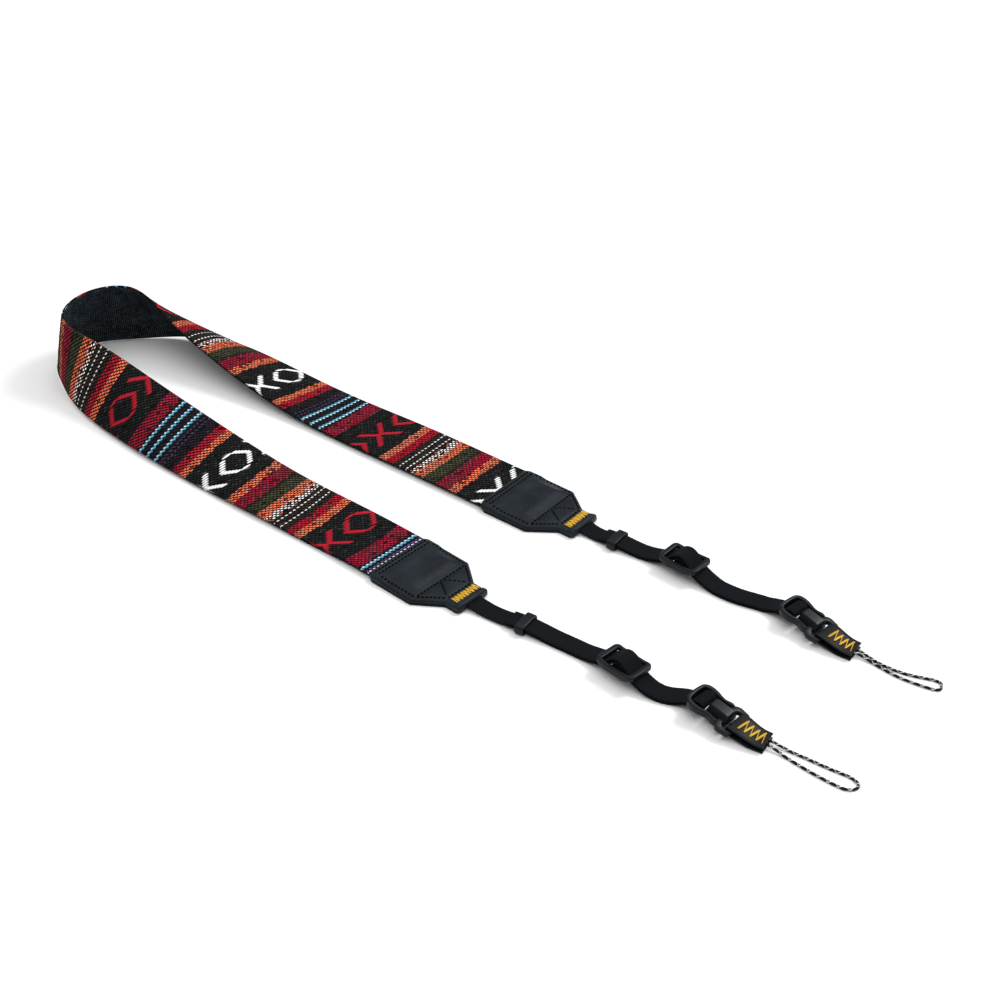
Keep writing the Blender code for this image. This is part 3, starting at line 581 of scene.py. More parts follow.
def noise(tree, vector, scale, detail):
    """Cloudy value from 0 to 1."""
    node = tree.nodes.new("ShaderNodeTexNoise")
    node.inputs["Scale"].default_value = scale
    node.inputs["Detail"].default_value = detail
    tree.links.new(vector, node.inputs["Vector"])
    return Wire(tree, node.outputs[0])


def highest(wires):
    """Greatest of several wires."""
    best, *others = wires
    for wire in others:
        best = best.op("MAXIMUM", wire)
    return best


def mix(tree, factor, first, second):
    """Colour first where factor is 0, second where it is 1. Colours are sockets or triples."""
    node = tree.nodes.new("ShaderNodeMix")
    node.data_type = "RGBA"
    if isinstance(factor, Wire):
        tree.links.new(factor.socket, node.inputs["Factor"])
    else:
        node.inputs["Factor"].default_value = factor
    for value, slot in ((first, 6), (second, 7)):
        if isinstance(value, (tuple, list)):
            node.inputs[slot].default_value = (*value, 1.0)
        else:
            tree.links.new(value, node.inputs[slot])
    return node.outputs[2]


def shaded(tree, colour, factor):
    """Colour times a value."""
    node = tree.nodes.new("ShaderNodeVectorMath")
    node.operation = "SCALE"
    if isinstance(colour, (tuple, list)):
        node.inputs[0].default_value = colour
    else:
        tree.links.new(colour, node.inputs[0])
    tree.links.new(factor.socket, node.inputs["Scale"])
    return node.outputs[0]


def material(name, roughness, **constants):
    """New material with a Principled shader and its constant sockets set."""
    made = bpy.data.materials.new(name)
    made.use_nodes = True
    tree = made.node_tree
    shader = tree.nodes["Principled BSDF"]
    shader.inputs["Roughness"].default_value = roughness
    for key, value in constants.items():
        shader.inputs[key.replace("_", " ")].default_value = value
    return made, tree, shader


def bump(tree, shader, height, distance, strength=1.0):
    """Height of 0 to 1 as a bump of that distance in metres."""
    node = tree.nodes.new("ShaderNodeBump")
    node.inputs["Distance"].default_value = distance
    node.inputs["Strength"].default_value = strength
    tree.links.new(height.socket, node.inputs["Height"])
    tree.links.new(node.outputs[0], shader.inputs["Normal"])


def group_tree(name, inputs, outputs):
    """Empty node group with named value inputs (name, default) and outputs (name, socket type)."""
    tree = bpy.data.node_groups.new(name, "ShaderNodeTree")
    for label, default in inputs:
        made = tree.interface.new_socket(name=label, in_out="INPUT", socket_type="NodeSocketFloat")
        made.default_value = default
    for label, kind in outputs:
        tree.interface.new_socket(name=label, in_out="OUTPUT", socket_type=kind)
    return tree, tree.nodes.new("NodeGroupInput"), tree.nodes.new("NodeGroupOutput")


def use_group(tree, name, **values):
    """A group node with its inputs set or linked."""
    node = tree.nodes.new("ShaderNodeGroup")
    node.node_tree = bpy.data.node_groups[name]
    for key, value in values.items():
        slot = node.inputs[key.replace("_", " ").capitalize()]
        if isinstance(value, Wire):
            tree.links.new(value.socket, slot)
        else:
            slot.default_value = value
    return node


def grain_group():
    """Leather grain: rounded cells between fine creases, with soft clouds of tone."""
    tree, entry, leave = group_tree("leather_grain", [("Cell", 1100.0), ("Cloud", 60.0)],
                                    [("Height", "NodeSocketFloat"), ("Tone", "NodeSocketFloat")])
    place = object_vector(tree, (1.0, 1.0, 1.0))
    edge = tree.nodes.new("ShaderNodeTexVoronoi")
    edge.feature = "DISTANCE_TO_EDGE"
    tree.links.new(place, edge.inputs["Vector"])
    tree.links.new(entry.outputs["Cell"], edge.inputs["Scale"])
    cloud = tree.nodes.new("ShaderNodeTexNoise")
    tree.links.new(place, cloud.inputs["Vector"])
    tree.links.new(entry.outputs["Cloud"], cloud.inputs["Scale"])
    cloud.inputs["Detail"].default_value = 4.0
    height = Wire(tree, edge.outputs["Distance"]).rise(0.0, 0.28) + Wire(tree, cloud.outputs[0]) * 0.8
    tree.links.new(height.socket, leave.inputs["Height"])
    tree.links.new(Wire(tree, cloud.outputs[0]).rise(0.3, 0.7).socket, leave.inputs["Tone"])


def ribs_group():
    """Ribbed tape: rounded ribs across, each split into slanted yarns by a second wave."""
    tree, entry, leave = group_tree("ribbed_tape", [("Rib", 1.1), ("Yarn", 0.75)],
                                    [("Height", "NodeSocketFloat"), ("Tone", "NodeSocketFloat")])
    along, across = map_wires(tree)
    rib = Wire(tree, entry.outputs["Rib"])
    yarn = Wire(tree, entry.outputs["Yarn"])
    wave = (along / rib * math.pi).op("SINE").op("ABSOLUTE")
    row = (along / rib).op("FLOOR")
    slant = ((across / yarn + row * 0.5) * math.pi).op("SINE").op("ABSOLUTE")
    height = wave * 0.7 + slant * wave * 0.5
    fuzz = noise(tree, joined(tree, along, across), 1.4, 3.0)
    tree.links.new(height.socket, leave.inputs["Height"])
    # Tone is highest on the crowns of the slanted yarns, plus noise: a painted highlight where it lightens
    # the tape.
    tree.links.new((slant * wave * 0.75 + fuzz * 0.5).socket, leave.inputs["Tone"])


def stripe_ramp(tree, place, band, colours):
    """Colour of the stripes at a place in the repeat, from the table of stripes."""
    node = tree.nodes.new("ShaderNodeValToRGB")
    node.color_ramp.interpolation = "CONSTANT"
    marks = node.color_ramp.elements
    while len(marks) < len(STRIPES):
        marks.new(0.5)
    repeat = band.repeat * 1000.0
    for mark, (start, _) in zip(marks, STRIPES):
        mark.position = start / repeat
    for mark, (_, name) in zip(marks, STRIPES):
        mark.color = (*colours[name], 1.0)
    tree.links.new((place / repeat).socket, node.inputs[0])
    return node.outputs[0]


def place_ramp(tree, along, band):
    """Place of the diamonds across the band for each motif along it, as millimetres."""
    node = tree.nodes.new("ShaderNodeValToRGB")
    node.color_ramp.interpolation = "CONSTANT"
    marks = node.color_ramp.elements
    while len(marks) < len(DIAMOND_PLACES):
        marks.new(0.5)
    for mark, (start, _) in zip(marks, DIAMOND_PLACES):
        mark.position = start / (band.length * 1000.0)
    for mark, (_, value) in zip(marks, DIAMOND_PLACES):
        grey = 0.5 + 0.5 * value
        mark.color = (grey, grey, grey, 1.0)
    tree.links.new((along / (band.length * 1000.0)).socket, node.inputs[0])
    split = tree.nodes.new("ShaderNodeSeparateColor")
    tree.links.new(node.outputs[0], split.inputs[0])
    return (Wire(tree, split.outputs[0]) - 0.5) * (2.0 * band.width * 1000.0)


def floats_group():
    """Woven floats: rounded, tilted yarns in staggered rows.

    Rows lie Row apart along the piece and floats Pitch apart across it, every second row moved
    by half a pitch. With a and b the place in a cell across and along, each from -0.5 to 0.5,
    the height is 1 - (2.1 a)^2 - (1.9 (b + Tilt a))^2. Tone is one random value for each float.
    """
    tree, entry, leave = group_tree(
        "woven_floats", [("Along", 0.0), ("Across", 0.0), ("Row", 1.27), ("Pitch", 2.54), ("Tilt", 0.44)],
        [("Height", "NodeSocketFloat"), ("Tone", "NodeSocketFloat")])
    along, across, row, pitch, tilt = (Wire(tree, entry.outputs[name])
                                       for name in ("Along", "Across", "Row", "Pitch", "Tilt"))
    rows = along / row
    number = rows.op("FLOOR")
    b = rows.op("FRACT") - 0.5
    turn = across / pitch + number * 0.5
    a = turn.op("FRACT") - 0.5
    height = (a * 2.1).op("POWER", 2.0) * -1.0 - ((b + tilt * a) * 1.9).op("POWER", 2.0) + 1.0
    random = tree.nodes.new("ShaderNodeTexWhiteNoise")
    random.noise_dimensions = "2D"
    tree.links.new(joined(tree, number, turn.op("FLOOR")), random.inputs["Vector"])
    tree.links.new(height.socket, leave.inputs["Height"])
    tree.links.new(random.outputs["Value"], leave.inputs["Tone"])


def float_shape(far, half, beside):
    """Height of a long float: 1 - (far / half)^2 - (beside / 0.52)^2."""
    return (far / half).op("POWER", 2.0) * -1.0 - (beside / 0.52).op("POWER", 2.0) + 1.0


def motif_floats(place, row, v, centre):
    """Height over the floats of diamonds and crosses, one float to each row of the weave.

    In a row at reach from the motif's middle, a diamond's float lies DIAMOND_HEIGHT less
    DIAMOND_SLOPE times reach from its centre, and its last row is one long float. A cross's
    float lies CROSS_START and CROSS_SLOPE times reach from its centre, its middle row is one.
    """
    rows = place / row
    number = rows.op("FLOOR") + 0.5
    b = rows.op("FRACT") - 0.5
    shapes = []
    for middle in MOTIF_ROWS:
        reach = ((number - middle) * row).op("ABSOLUTE")
        within = reach * -1.0
        near = within.rise(-DIAMOND_REACH - 0.1, -DIAMOND_REACH + 0.1)
        last = within.rise(-DIAMOND_REACH - DIAMOND_TIP_ROW - 0.1, -DIAMOND_REACH - DIAMOND_TIP_ROW + 0.1)
        crossed = within.rise(-CROSS_REACH - 0.1, -CROSS_REACH + 0.1)
        for shift in (-2, -1, 0, 1, 2):
            from_middle = v - centre - shift * MOTIF_STEP
            side = from_middle.op("SIGN")
            away = from_middle.op("ABSOLUTE")
            if shift % 2:
                far = away - reach * CROSS_SLOPE - CROSS_START
                shapes.append(float_shape(far, FLOAT_HALF, b + far * side * 0.14) * crossed)
                bar = float_shape(away, CROSS_BAR_HALF, b + from_middle * 0.08)
                shapes.append(bar * within.rise(-0.7, -0.6))
            else:
                far = away + reach * DIAMOND_SLOPE - DIAMOND_HEIGHT
                shapes.append(float_shape(far, FLOAT_HALF, b + far * side * 0.14) * near)
                tip = float_shape(away, DIAMOND_TIP_HALF, b + from_middle * 0.10)
                shapes.append(tip * (last - near))
    return highest(shapes)


def dash_shape(place, line, half, v, shift, length):
    """Height over the dashes of a line: 1 - (place off / half)^2 - (off the dash's middle)^2."""
    off = (v / DASH_PITCH + shift).op("FRACT") - 0.5
    beside = (place - line + off * 0.5) / half
    return beside.op("POWER", 2.0) * -1.0 - (off * (2.0 / length)).op("POWER", 2.0) + 1.0


def tapestry_material(band):
    """Coloured floats on a dark ground, dashed lines and motif floats, all in millimetres. Motif floats
    lighter towards their crowns and pale tops on the blue dashes are painted highlights.
    """
    made, tree, shader = material("woven_tapestry", 0.85, Specular_IOR_Level=0.05)
    ground = tuple(band.ground)
    colours = {
        "ground": linear(33, 34, 34), "orange": tuple(band.orange), "crimson": tuple(band.crimson),
        "red": tuple(band.red), "olive": tuple(band.olive), "brown": linear(50, 43, 38),
        "night": linear(36, 34, 40), "white": tuple(band.white),
    }
    white = tuple(band.white)
    u, v = map_wires(tree)
    repeat = band.repeat * 1000.0
    row = repeat / ROWS
    place = ((u - band.start * 1000.0) / repeat).op("FRACT") * repeat
    weave = use_group(tree, "woven_floats", along=place, across=v, row=row, pitch=2.0 * row, tilt=0.44)
    tone = Wire(tree, weave.outputs["Tone"])
    raised = Wire(tree, weave.outputs["Height"])
    patch = noise(tree, joined(tree, u, v), 0.55, 3.0)
    fibre = noise(tree, joined(tree, u * 3.0, v), 5.0, 2.0)
    yarn = stripe_ramp(tree, place + (tone - 0.5) * 1.1, band, colours)
    yarn = mix(tree, tone.rise(0.90, 0.92) * 0.14, yarn, linear(96, 84, 84))
    in_white = place.near(54.9, 2.1, 0.3)
    checker = in_white * (tone * -1.0).rise(-0.25, -0.24)
    speckle = mix(tree, tone.rise(0.10, 0.11), linear(20, 20, 20), tuple(band.orange))
    yarn = mix(tree, checker, yarn, speckle)
    yarn = shaded(tree, yarn, tone * 0.60 + patch.rise(0.25, 0.75) * 0.30 + fibre * 0.55 + 0.40)
    missing = (tone * 7.31).op("FRACT").rise(0.93, 0.95)
    thread = (raised + (patch - 0.5) * 0.3 - in_white * 0.20).rise(0.36, 0.55) * (missing * -0.8 + 1.0)
    yarn = mix(tree, thread, shaded(tree, ground, patch * 0.4 + 0.10), yarn)

    lines = highest([dash_shape(place, line, half, v, 0.31 * line, 0.62) for line, half in WHITE_LINES])
    yarn = mix(tree, lines.rise(0.05, 0.35), yarn, shaded(tree, white, fibre * 0.4 + 0.75))
    plum = highest([dash_shape(place, line, half, v, 0.2 * line, 0.55) for line, half in PLUM_LINES])
    yarn = mix(tree, plum.rise(0.05, 0.35), yarn, linear(86, 62, 104))
    # Blue dashed lines: blue yarn in each dash, with pale marks over its top as a painted highlight.
    rope = highest([dash_shape(place, line - 0.25, 0.85, v, 0.37 * line, 0.86) for line in BLUE_LINES])
    blue_dash_highlight_mask = highest([dash_shape(place, line + 0.55, 0.55, v, 0.37 * line + 0.42, 0.50)
                    for line in BLUE_LINES])
    inner = u.rise(11.9, 12.1)
    blue = shaded(tree, tuple(band.blue), fibre * 0.5 + 0.72)
    # Pale colour of the painted highlight on the blue dashes.
    painted_highlight_colour = shaded(tree, linear(222, 240, 246), fibre * 0.3 + 0.8)
    yarn = mix(tree, rope.rise(0.05, 0.35) * inner, yarn, blue)
    yarn = mix(tree, blue_dash_highlight_mask.rise(0.05, 0.35) * inner, yarn, painted_highlight_colour)
    end_white = dash_shape(u, 9.6, 0.50, v, 0.1, 0.62)
    end_plum = dash_shape(u, 10.9, 0.55, v, 0.6, 0.70)
    yarn = mix(tree, end_plum.rise(0.05, 0.35), yarn, linear(96, 70, 122))
    yarn = mix(tree, end_white.rise(0.05, 0.35), yarn, linear(214, 214, 226))

    motif = motif_floats(place, row, v, place_ramp(tree, u - 0.5, band))
    float_colour = mix(tree, place.rise(58.0, 60.0), tuple(band.motif), white)
    # Painted highlight: the motif floats grow lighter towards their crowns.
    float_colour = shaded(tree, float_colour, motif.rise(0.0, 0.7) * 0.35 + fibre * 0.45 + 0.48)
    yarn = mix(tree, motif.rise(0.06, 0.26), yarn, float_colour)
    tree.links.new(yarn, shader.inputs["Base Color"])
    height = highest([raised.op("MAXIMUM", 0.0), motif * 1.3, lines, rope])
    bump(tree, shader, height + fibre * 0.35, 0.00016, 0.7)
    return made


def backing_material():
    """Plain dark weave: columns of small rounded yarns, their tops a little lighter as a painted highlight,
    varied at random.
    """
    made, tree, shader = material("black_plain_backing", 0.9, Specular_IOR_Level=0.07)
    u, v = map_wires(tree)
    weave = use_group(tree, "woven_floats", along=u, across=v, row=1.2, pitch=1.2, tilt=0.0)
    tone = Wire(tree, weave.outputs["Tone"])
    raised = Wire(tree, weave.outputs["Height"])
    patch = noise(tree, joined(tree, u, v), 0.12, 3.0)
    # Painted highlight: raised yarn tops mixed lighter, by a random share.
    colour = mix(tree, raised.rise(0.35, 0.85) * (tone * 0.5 + patch.rise(0.3, 0.7) * 0.5),
                 linear(11, 15, 18), linear(84, 96, 104))
    tree.links.new(colour, shader.inputs["Base Color"])
    bump(tree, shader, raised.op("MAXIMUM", 0.0), 0.00012, 0.7)
    return made


def ribbed_material(name, colour, rib, yarn, roughness=0.85):
    """Ribbed tape from the shared group, the ribs' tops a little lighter and their hollows darker: painted
    highlight and painted shade.
    """
    made, tree, shader = material(name, roughness, Specular_IOR_Level=0.04)
    tape = use_group(tree, "ribbed_tape", rib=rib, yarn=yarn)
    tone = Wire(tree, tape.outputs["Tone"])
    colour = tuple(colour)
    lighter = tuple(1.9 * part + 0.002 for part in colour)
    darker = tuple(0.45 * part for part in colour)
    # Painted highlight on the rib crowns and painted shade in the hollows, from the tape's tone.
    tree.links.new(mix(tree, tone.rise(0.2, 0.95), darker, lighter), shader.inputs["Base Color"])
    bump(tree, shader, Wire(tree, tape.outputs["Height"]), 0.00016)
    return made


def leather_material(name, colour, roughness=0.40, cell=1100.0, worn=0.5):
    """Grained leather, lighter where it is worn, glossier on the high grain."""
    made, tree, shader = material(name, roughness, Coat_Weight=0.05, Coat_Roughness=0.26,
                                  Specular_IOR_Level=0.11)
    grain = use_group(tree, "leather_grain", cell=cell, cloud=70.0)
    tone = Wire(tree, grain.outputs["Tone"])
    height = Wire(tree, grain.outputs["Height"])
    colour = tuple(colour)
    lighter = tuple(1.35 * part + 0.001 for part in colour)
    darker = tuple(0.72 * part for part in colour)
    wear = noise(tree, object_vector(tree, (1.0, 1.0, 1.0)), 260.0, 4.0).rise(0.60, 0.78) * worn
    base = mix(tree, tone, darker, lighter)
    base = mix(tree, wear, base, tuple(2.2 * part + 0.004 for part in colour))
    tree.links.new(base, shader.inputs["Base Color"])
    tree.links.new((tone * 0.12 + wear * 0.10 + (roughness - 0.06)).socket, shader.inputs["Roughness"])
    bump(tree, shader, height, 0.00007, 0.7)
    return made


def thread_material(name, colour, roughness=0.5, gloss=0.2):
    """Twisted thread: fine slanted waves, each stitch with its own tone."""
    made, tree, shader = material(name, roughness, Specular_IOR_Level=gloss)
    u, _ = map_wires(tree)
    place = object_vector(tree, (1.0, 1.0, 1.0))
    fibre = noise(tree, place, 3200.0, 2.0)
    tone = (u * 0.001 * 7.3).op("FRACT") * 0.30 + fibre.rise(0.3, 0.7) * 0.35 + 0.62
    tree.links.new(shaded(tree, tuple(colour), tone), shader.inputs["Base Color"])
    bump(tree, shader, fibre, 0.00008)
    return made


def plastic_material(name, colour, roughness=0.42):
    """Moulded plastic with a fine spark-eroded texture and faint scuffs."""
    made, tree, shader = material(name, roughness, Coat_Weight=0.07, Coat_Roughness=0.18,
                                  Specular_IOR_Level=0.13)
    place = object_vector(tree, (1.0, 1.0, 1.0))
    fine = noise(tree, place, 2600.0, 3.0)
    scuff = noise(tree, object_vector(tree, (1.0, 6.0, 1.0)), 220.0, 4.0).rise(0.58, 0.80)
    colour = tuple(colour)
    base = mix(tree, scuff * 0.5, colour, tuple(1.7 * part + 0.004 for part in colour))
    tree.links.new(base, shader.inputs["Base Color"])
    tree.links.new((fine * 0.16 + scuff * 0.15 + (roughness - 0.08)).socket, shader.inputs["Roughness"])
    bump(tree, shader, fine, 0.00004, 0.6)
    return made


def cord_material(cord):
    """Braid of black yarn with two strands that come up white once in each pitch, and painted shade in the
    grooves between strands.
    """
    made, tree, shader = material("flecked_braid", 0.7, Sheen_Weight=0.04, Specular_IOR_Level=0.15)
    u, v = map_wires(tree)
    turn = v / (cord.diameter * 1000.0 * math.pi)
    fleck = cord.fleck * 1000.0
    left = (turn * 2.0 + u / 1.25).op("FRACT")
    right = (turn * 2.0 - u / 1.25).op("FRACT")
    strand = (left * math.pi).op("SINE") * (right * math.pi).op("SINE")
    here = (u / fleck + turn).op("FRACT").near(0.5, 0.085, 0.03)
    here = here.op("MAXIMUM", (u / fleck - turn + 0.12).op("FRACT").near(0.5, 0.05, 0.03))
    base = mix(tree, here, linear(20, 21, 24), linear(230, 230, 230))
    # Painted shade: the braid is darker in the grooves between its strands.
    tree.links.new(shaded(tree, base, strand * 0.6 + 0.5), shader.inputs["Base Color"])
    bump(tree, shader, strand, 0.00016)
    return made


# Pieces

def sheet_ring(columns, inner_columns, rim=4):
    """Closed section of a band layer: across, depth (1 outer side, 0 inner side) and map place."""
    outer = np.linspace(-0.5, 0.5, columns)
    turn = np.linspace(0.5 * math.pi, -0.5 * math.pi, rim + 2)[1:-1]
    inner = np.linspace(0.5, -0.5, inner_columns)
    across = np.concatenate([outer, np.full(rim, 0.5), inner, np.full(rim, -0.5)])
    bulge = np.concatenate([np.zeros(columns), np.cos(turn), np.zeros(inner_columns), -np.cos(turn[::-1])])
    depth = np.concatenate([np.ones(columns), 0.5 + 0.5 * np.sin(turn), np.zeros(inner_columns),
                            0.5 + 0.5 * np.sin(turn[::-1])])
    place = np.concatenate([outer, 0.5 + 0.02 * (1 + np.arange(rim)), np.full(inner_columns, 0.7),
                            -0.5 - 0.02 * (rim - np.arange(rim))])
    return across, bulge, depth, place


def weave_height(u, v, row, pitch, tilt):
    """Height of the woven floats, 0 to 1, with the formula of the shader group woven_floats."""
    rows = u / row
    b = rows % 1.0 - 0.5
    a = (v / pitch + np.floor(rows) * 0.5) % 1.0 - 0.5
    return np.maximum(0.0, 1.0 - (2.1 * a) ** 2 - (1.9 * (b + tilt * a)) ** 2)


def motif_height(u, v, band):
    """Height of the motif floats, 0 to 1, with the formula of motif_floats."""
    repeat = band.repeat * 1000.0
    row = repeat / ROWS
    starts = np.array([start for start, _ in DIAMOND_PLACES], float)
    places = np.array([place for _, place in DIAMOND_PLACES]) * band.width * 1000.0
    centre = places[np.clip(np.searchsorted(starts, u - 0.5, side="right") - 1, 0, len(places) - 1)]
    number = np.floor(((u - band.start * 1000.0) % repeat) / row) + 0.5
    best = np.zeros(np.broadcast(u, v).shape)
    for middle in MOTIF_ROWS:
        reach = np.abs(number - middle) * row
        for shift in (-2, -1, 0, 1, 2):
            away = np.abs(v - centre - shift * MOTIF_STEP)
            if shift % 2:
                here = 1.0 - ((away - CROSS_SLOPE * reach - CROSS_START) / FLOAT_HALF) ** 2
                bar = (1.0 - (away / CROSS_BAR_HALF) ** 2) * (reach < 0.65)
                here = np.maximum(here * (reach < CROSS_REACH), bar)
            else:
                here = 1.0 - ((away + DIAMOND_SLOPE * reach - DIAMOND_HEIGHT) / FLOAT_HALF) ** 2
                in_last = (reach > DIAMOND_REACH) & (reach < DIAMOND_REACH + DIAMOND_TIP_ROW)
                tip = (1.0 - (away / DIAMOND_TIP_HALF) ** 2) * in_last
                here = np.maximum(here * (reach < DIAMOND_REACH), tip)
            best = np.maximum(best, here)
    return best


def line_height(u, band):
    """Height of the dashed lines across the band, 0 to 1."""
    place = (u - band.start * 1000.0) % (band.repeat * 1000.0)
    lines = [(line, 0.5) for line, _ in WHITE_LINES] + [(line, 0.9) for line in BLUE_LINES]
    return np.maximum.reduce([np.exp(-((place - line) / half) ** 2) for line, half in lines])


def weft_drift(u, v, band):
    """Millimetres by which the weave's rows lie off straight, at u along and v across.

    A bow, the square of the place across less a third, where the band bends over the front arm,
    and a slant, straight across, in a short stretch of the rear arm. Both end before the caps.
    """
    edge = v / (band.width * 500.0)
    bow = 1.9 * ease((u - 8.0) / 30.0) * ease((330.0 - u) / 70.0) * (edge ** 2 - 1.0 / 3.0)
    return bow - 1.3 * np.exp(-((u - 490.0) / 28.0) ** 2) * edge


def build_band_layer(name, low, high, mat, band, move, step, columns, relief, drift=None):
    """A layer of the band as one closed sheet between two offsets.

    The section is two straight sides joined by half circles; the outer side is raised by
    relief(u, v) in metres, u and v in millimetres along and across. Rows lie off by drift(u, v).
    """
    count = int(band.length / step)
    share = np.linspace(0.0, 1.0, count + 1)
    across, bulge, depth, place = sheet_ring(columns, 8)
    u = (share * band.length * 1000.0)[:, None]
    v = (across * band.width * 1000.0)[None, :]
    raised = relief(u, v) * (depth == 1.0)[None, :] * np.where(np.abs(across) < 0.498, 1.0, 0.3)[None, :]
    thick = high - low
    wide = across + bulge * 0.5 * thick / band.width
    offset = low + depth[None, :] * thick + raised
    wide = np.broadcast_to(wide, (len(share), len(wide)))
    if drift is None:
        rings = band_points(share, wide, offset, band)
    else:
        base = band_points(share, wide, offset - raised, band)
        outward = (band_points(share, wide, offset - raised + 0.001, band) - base) * 1000.0
        moved = share[:, None] + drift(u, v) / (band.length * 1000.0)
        rings = np.empty_like(base)
        for column in range(base.shape[1]):
            at = moved[:, column]
            for axis in range(3):
                flat = np.interp(at, share, base[:, column, axis])
                lift = np.interp(at, share, outward[:, column, axis])
                rings[:, column, axis] = flat + raised[:, column] * lift
    rings[..., 2] += band_seat(share, band)[:, None]
    rings += move
    column = np.concatenate([place, place[:1]])
    column[-1] = -0.7
    uv = np.stack(np.broadcast_arrays(share[:, None] * band.length, column[None, :] * band.width), -1)
    return tube(name, rings, mat, uv, 60.0)


class NECKSTRAP_OT_band(bpy.types.Operator):
    """Woven face of the band with its stripes and raised motifs"""
    bl_idname = "neck_strap.band"
    bl_label = "Woven band"

    def execute(self, context):
        band = context.scene.neck_strap_band
        move = frame_shift(band)
        row = band.repeat * 1000.0 / ROWS

        def relief(u, v):
            rows = weave_height((u - band.start * 1000.0) % (band.repeat * 1000.0), v, row, 2.0 * row, 0.44)
            floats = np.maximum(rows, 1.4 * motif_height(u, v, band))
            return 0.00013 * floats + 0.00010 * line_height(u, band)

        face = build_band_layer("woven_band", 0.00005, GAP / 2 + 0.0010, tapestry_material(band), band,
                                move, 0.0005 * row, 61, relief, lambda u, v: weft_drift(u, v, band))
        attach(face, "root")
        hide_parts("tapestry_band")
        return {"FINISHED"}


class NECKSTRAP_OT_backing(bpy.types.Operator):
    """Plain weave of small rounded yarns on the back of the band"""
    bl_idname = "neck_strap.backing"
    bl_label = "Plain backing"

    def execute(self, context):
        band = context.scene.neck_strap_band
        move = frame_shift(band)

        def relief(u, v):
            return -0.00008 * weave_height(u, v, 1.2, 1.2, 0.0)

        back = build_band_layer("ribbed_backing", -0.00005, -GAP / 2 - 0.0010, backing_material(), band,
                                move, 0.0006, 64, relief)
        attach(back, "root")
        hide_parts("backing_webbing")
        return {"FINISHED"}


def cap_half_width(s, leather):
    """Half width of the cap at a distance from its strap-side edge."""
    half, neck, corner = leather.width / 2, 0.0105, 0.0020
    end = leather.length + CAP_LIP
    return np.interp(s, [0.0, 0.3 * corner, corner, CAP_SHOULDER, CAP_NECK, end - 0.4 * corner, end],
                     [half - corner, half - 0.3 * corner, half, half, neck, neck, neck - 0.4 * corner])


def cap_rows(leather):
    """Stitch rows of a cap as straight runs: start and end points along and across it."""
    half = leather.width / 2 - 0.0026
    corner = (0.0290, half - 0.0002)
    neck = (0.0412, 0.0086)
    rows = [((0.0022, -half), (0.0022, half)), ((0.0046, -half), (0.0046, half))]
    for side in (-1.0, 1.0):
        rows.append(((0.0064, side * half), (corner[0], side * corner[1])))
        rows.append(((corner[0] + 0.0008, side * (corner[1] - 0.0006)), (neck[0], side * neck[1])))
        rows.append(((0.0305, side * 0.0009), (neck[0] - 0.0012, side * (neck[1] - 0.0016))))
    rows.append(((0.0296, 0.0012 - half), (0.0296, half - 0.0012)))
    rows.append(((0.0420, -0.0080), (0.0420, 0.0080)))
    return np.array(rows)


def row_distance(s, t, rows):
    """Least distance of points to the stitch rows."""
    best = np.full(np.broadcast(s, t).shape, 1.0)
    for (s0, t0), (s1, t1) in rows:
        length2 = (s1 - s0) ** 2 + (t1 - t0) ** 2
        f = np.clip(((s - s0) * (s1 - s0) + (t - t0) * (t1 - t0)) / length2, 0.0, 1.0)
        best = np.minimum(best, np.hypot(s - s0 - f * (s1 - s0), t - t0 - f * (t1 - t0)))
    return best


def cap_height(s, t, leather, rows):
    """Height of the cap's upper face.

    A top that sinks a little past the strap, plus a padded panel that rises with eased flanks
    between the start rows and the middle row, low pads below it, a half-round rolled hem at the
    tip, and less a bell-shaped groove along each stitch row. The rim falls off as a quarter circle.
    """
    width = cap_half_width(s, leather)
    inside = width - 0.0026 - np.abs(t)
    end = leather.length + CAP_LIP
    flat = np.interp(s, [0.0, 0.0086, 0.0120, 0.0290, 0.0360, end],
                     np.array([0.0, 0.0, -0.7, -1.0, -0.6, -0.6]) * 0.001)
    panel = ease((s - 0.0050) / 0.0052) * ease((0.0294 - s) / 0.0070) * ease(inside / 0.0060)
    dent = 1.0 - 0.25 * np.exp(-((s - 0.0150) / 0.0050) ** 2 - (t / 0.0105) ** 2)
    low = ease((s - 0.0302) / 0.0030) * ease((0.0420 - s) / 0.0030) * ease(inside / 0.0030)
    top = CAP_TOP + flat + (leather.padding - 0.75 * flat) * panel * dent + 0.0004 * low
    top = top - 0.0011 * (1.0 - ease((width - np.abs(t)) / 0.0030))
    top = top - 0.00030 * np.exp(-(row_distance(s, t, rows) / 0.00070) ** 2)
    hem = np.clip(1.0 - ((s - (end - 0.0018)) / 0.0019) ** 2, 0.0, 1.0)
    top = top + 0.00080 * np.sqrt(hem)
    for over in (np.abs(t) - (width - CAP_RIM), CAP_RIM - s, s - (end - CAP_RIM)):
        x = np.clip(over / CAP_RIM, 0.0, 1.0)
        top = top - CAP_RIM * (1.0 - np.sqrt(1.0 - 0.98 * x * x))
    return top


def cap_points(arm, band, s, t, z):
    """Points at s along a cap and t across it, z up, with its start stretched by the lap."""
    start, away, aside = cap_place(arm, band)
    s = s - ARMS[arm]["cap_lap"] * np.clip(1.0 - s / CAP_SHOULDER, 0.0, 1.0)
    points = start + frame_shift(band) + s[..., None] * away + t[..., None] * aside
    points[..., 2] = z
    return points


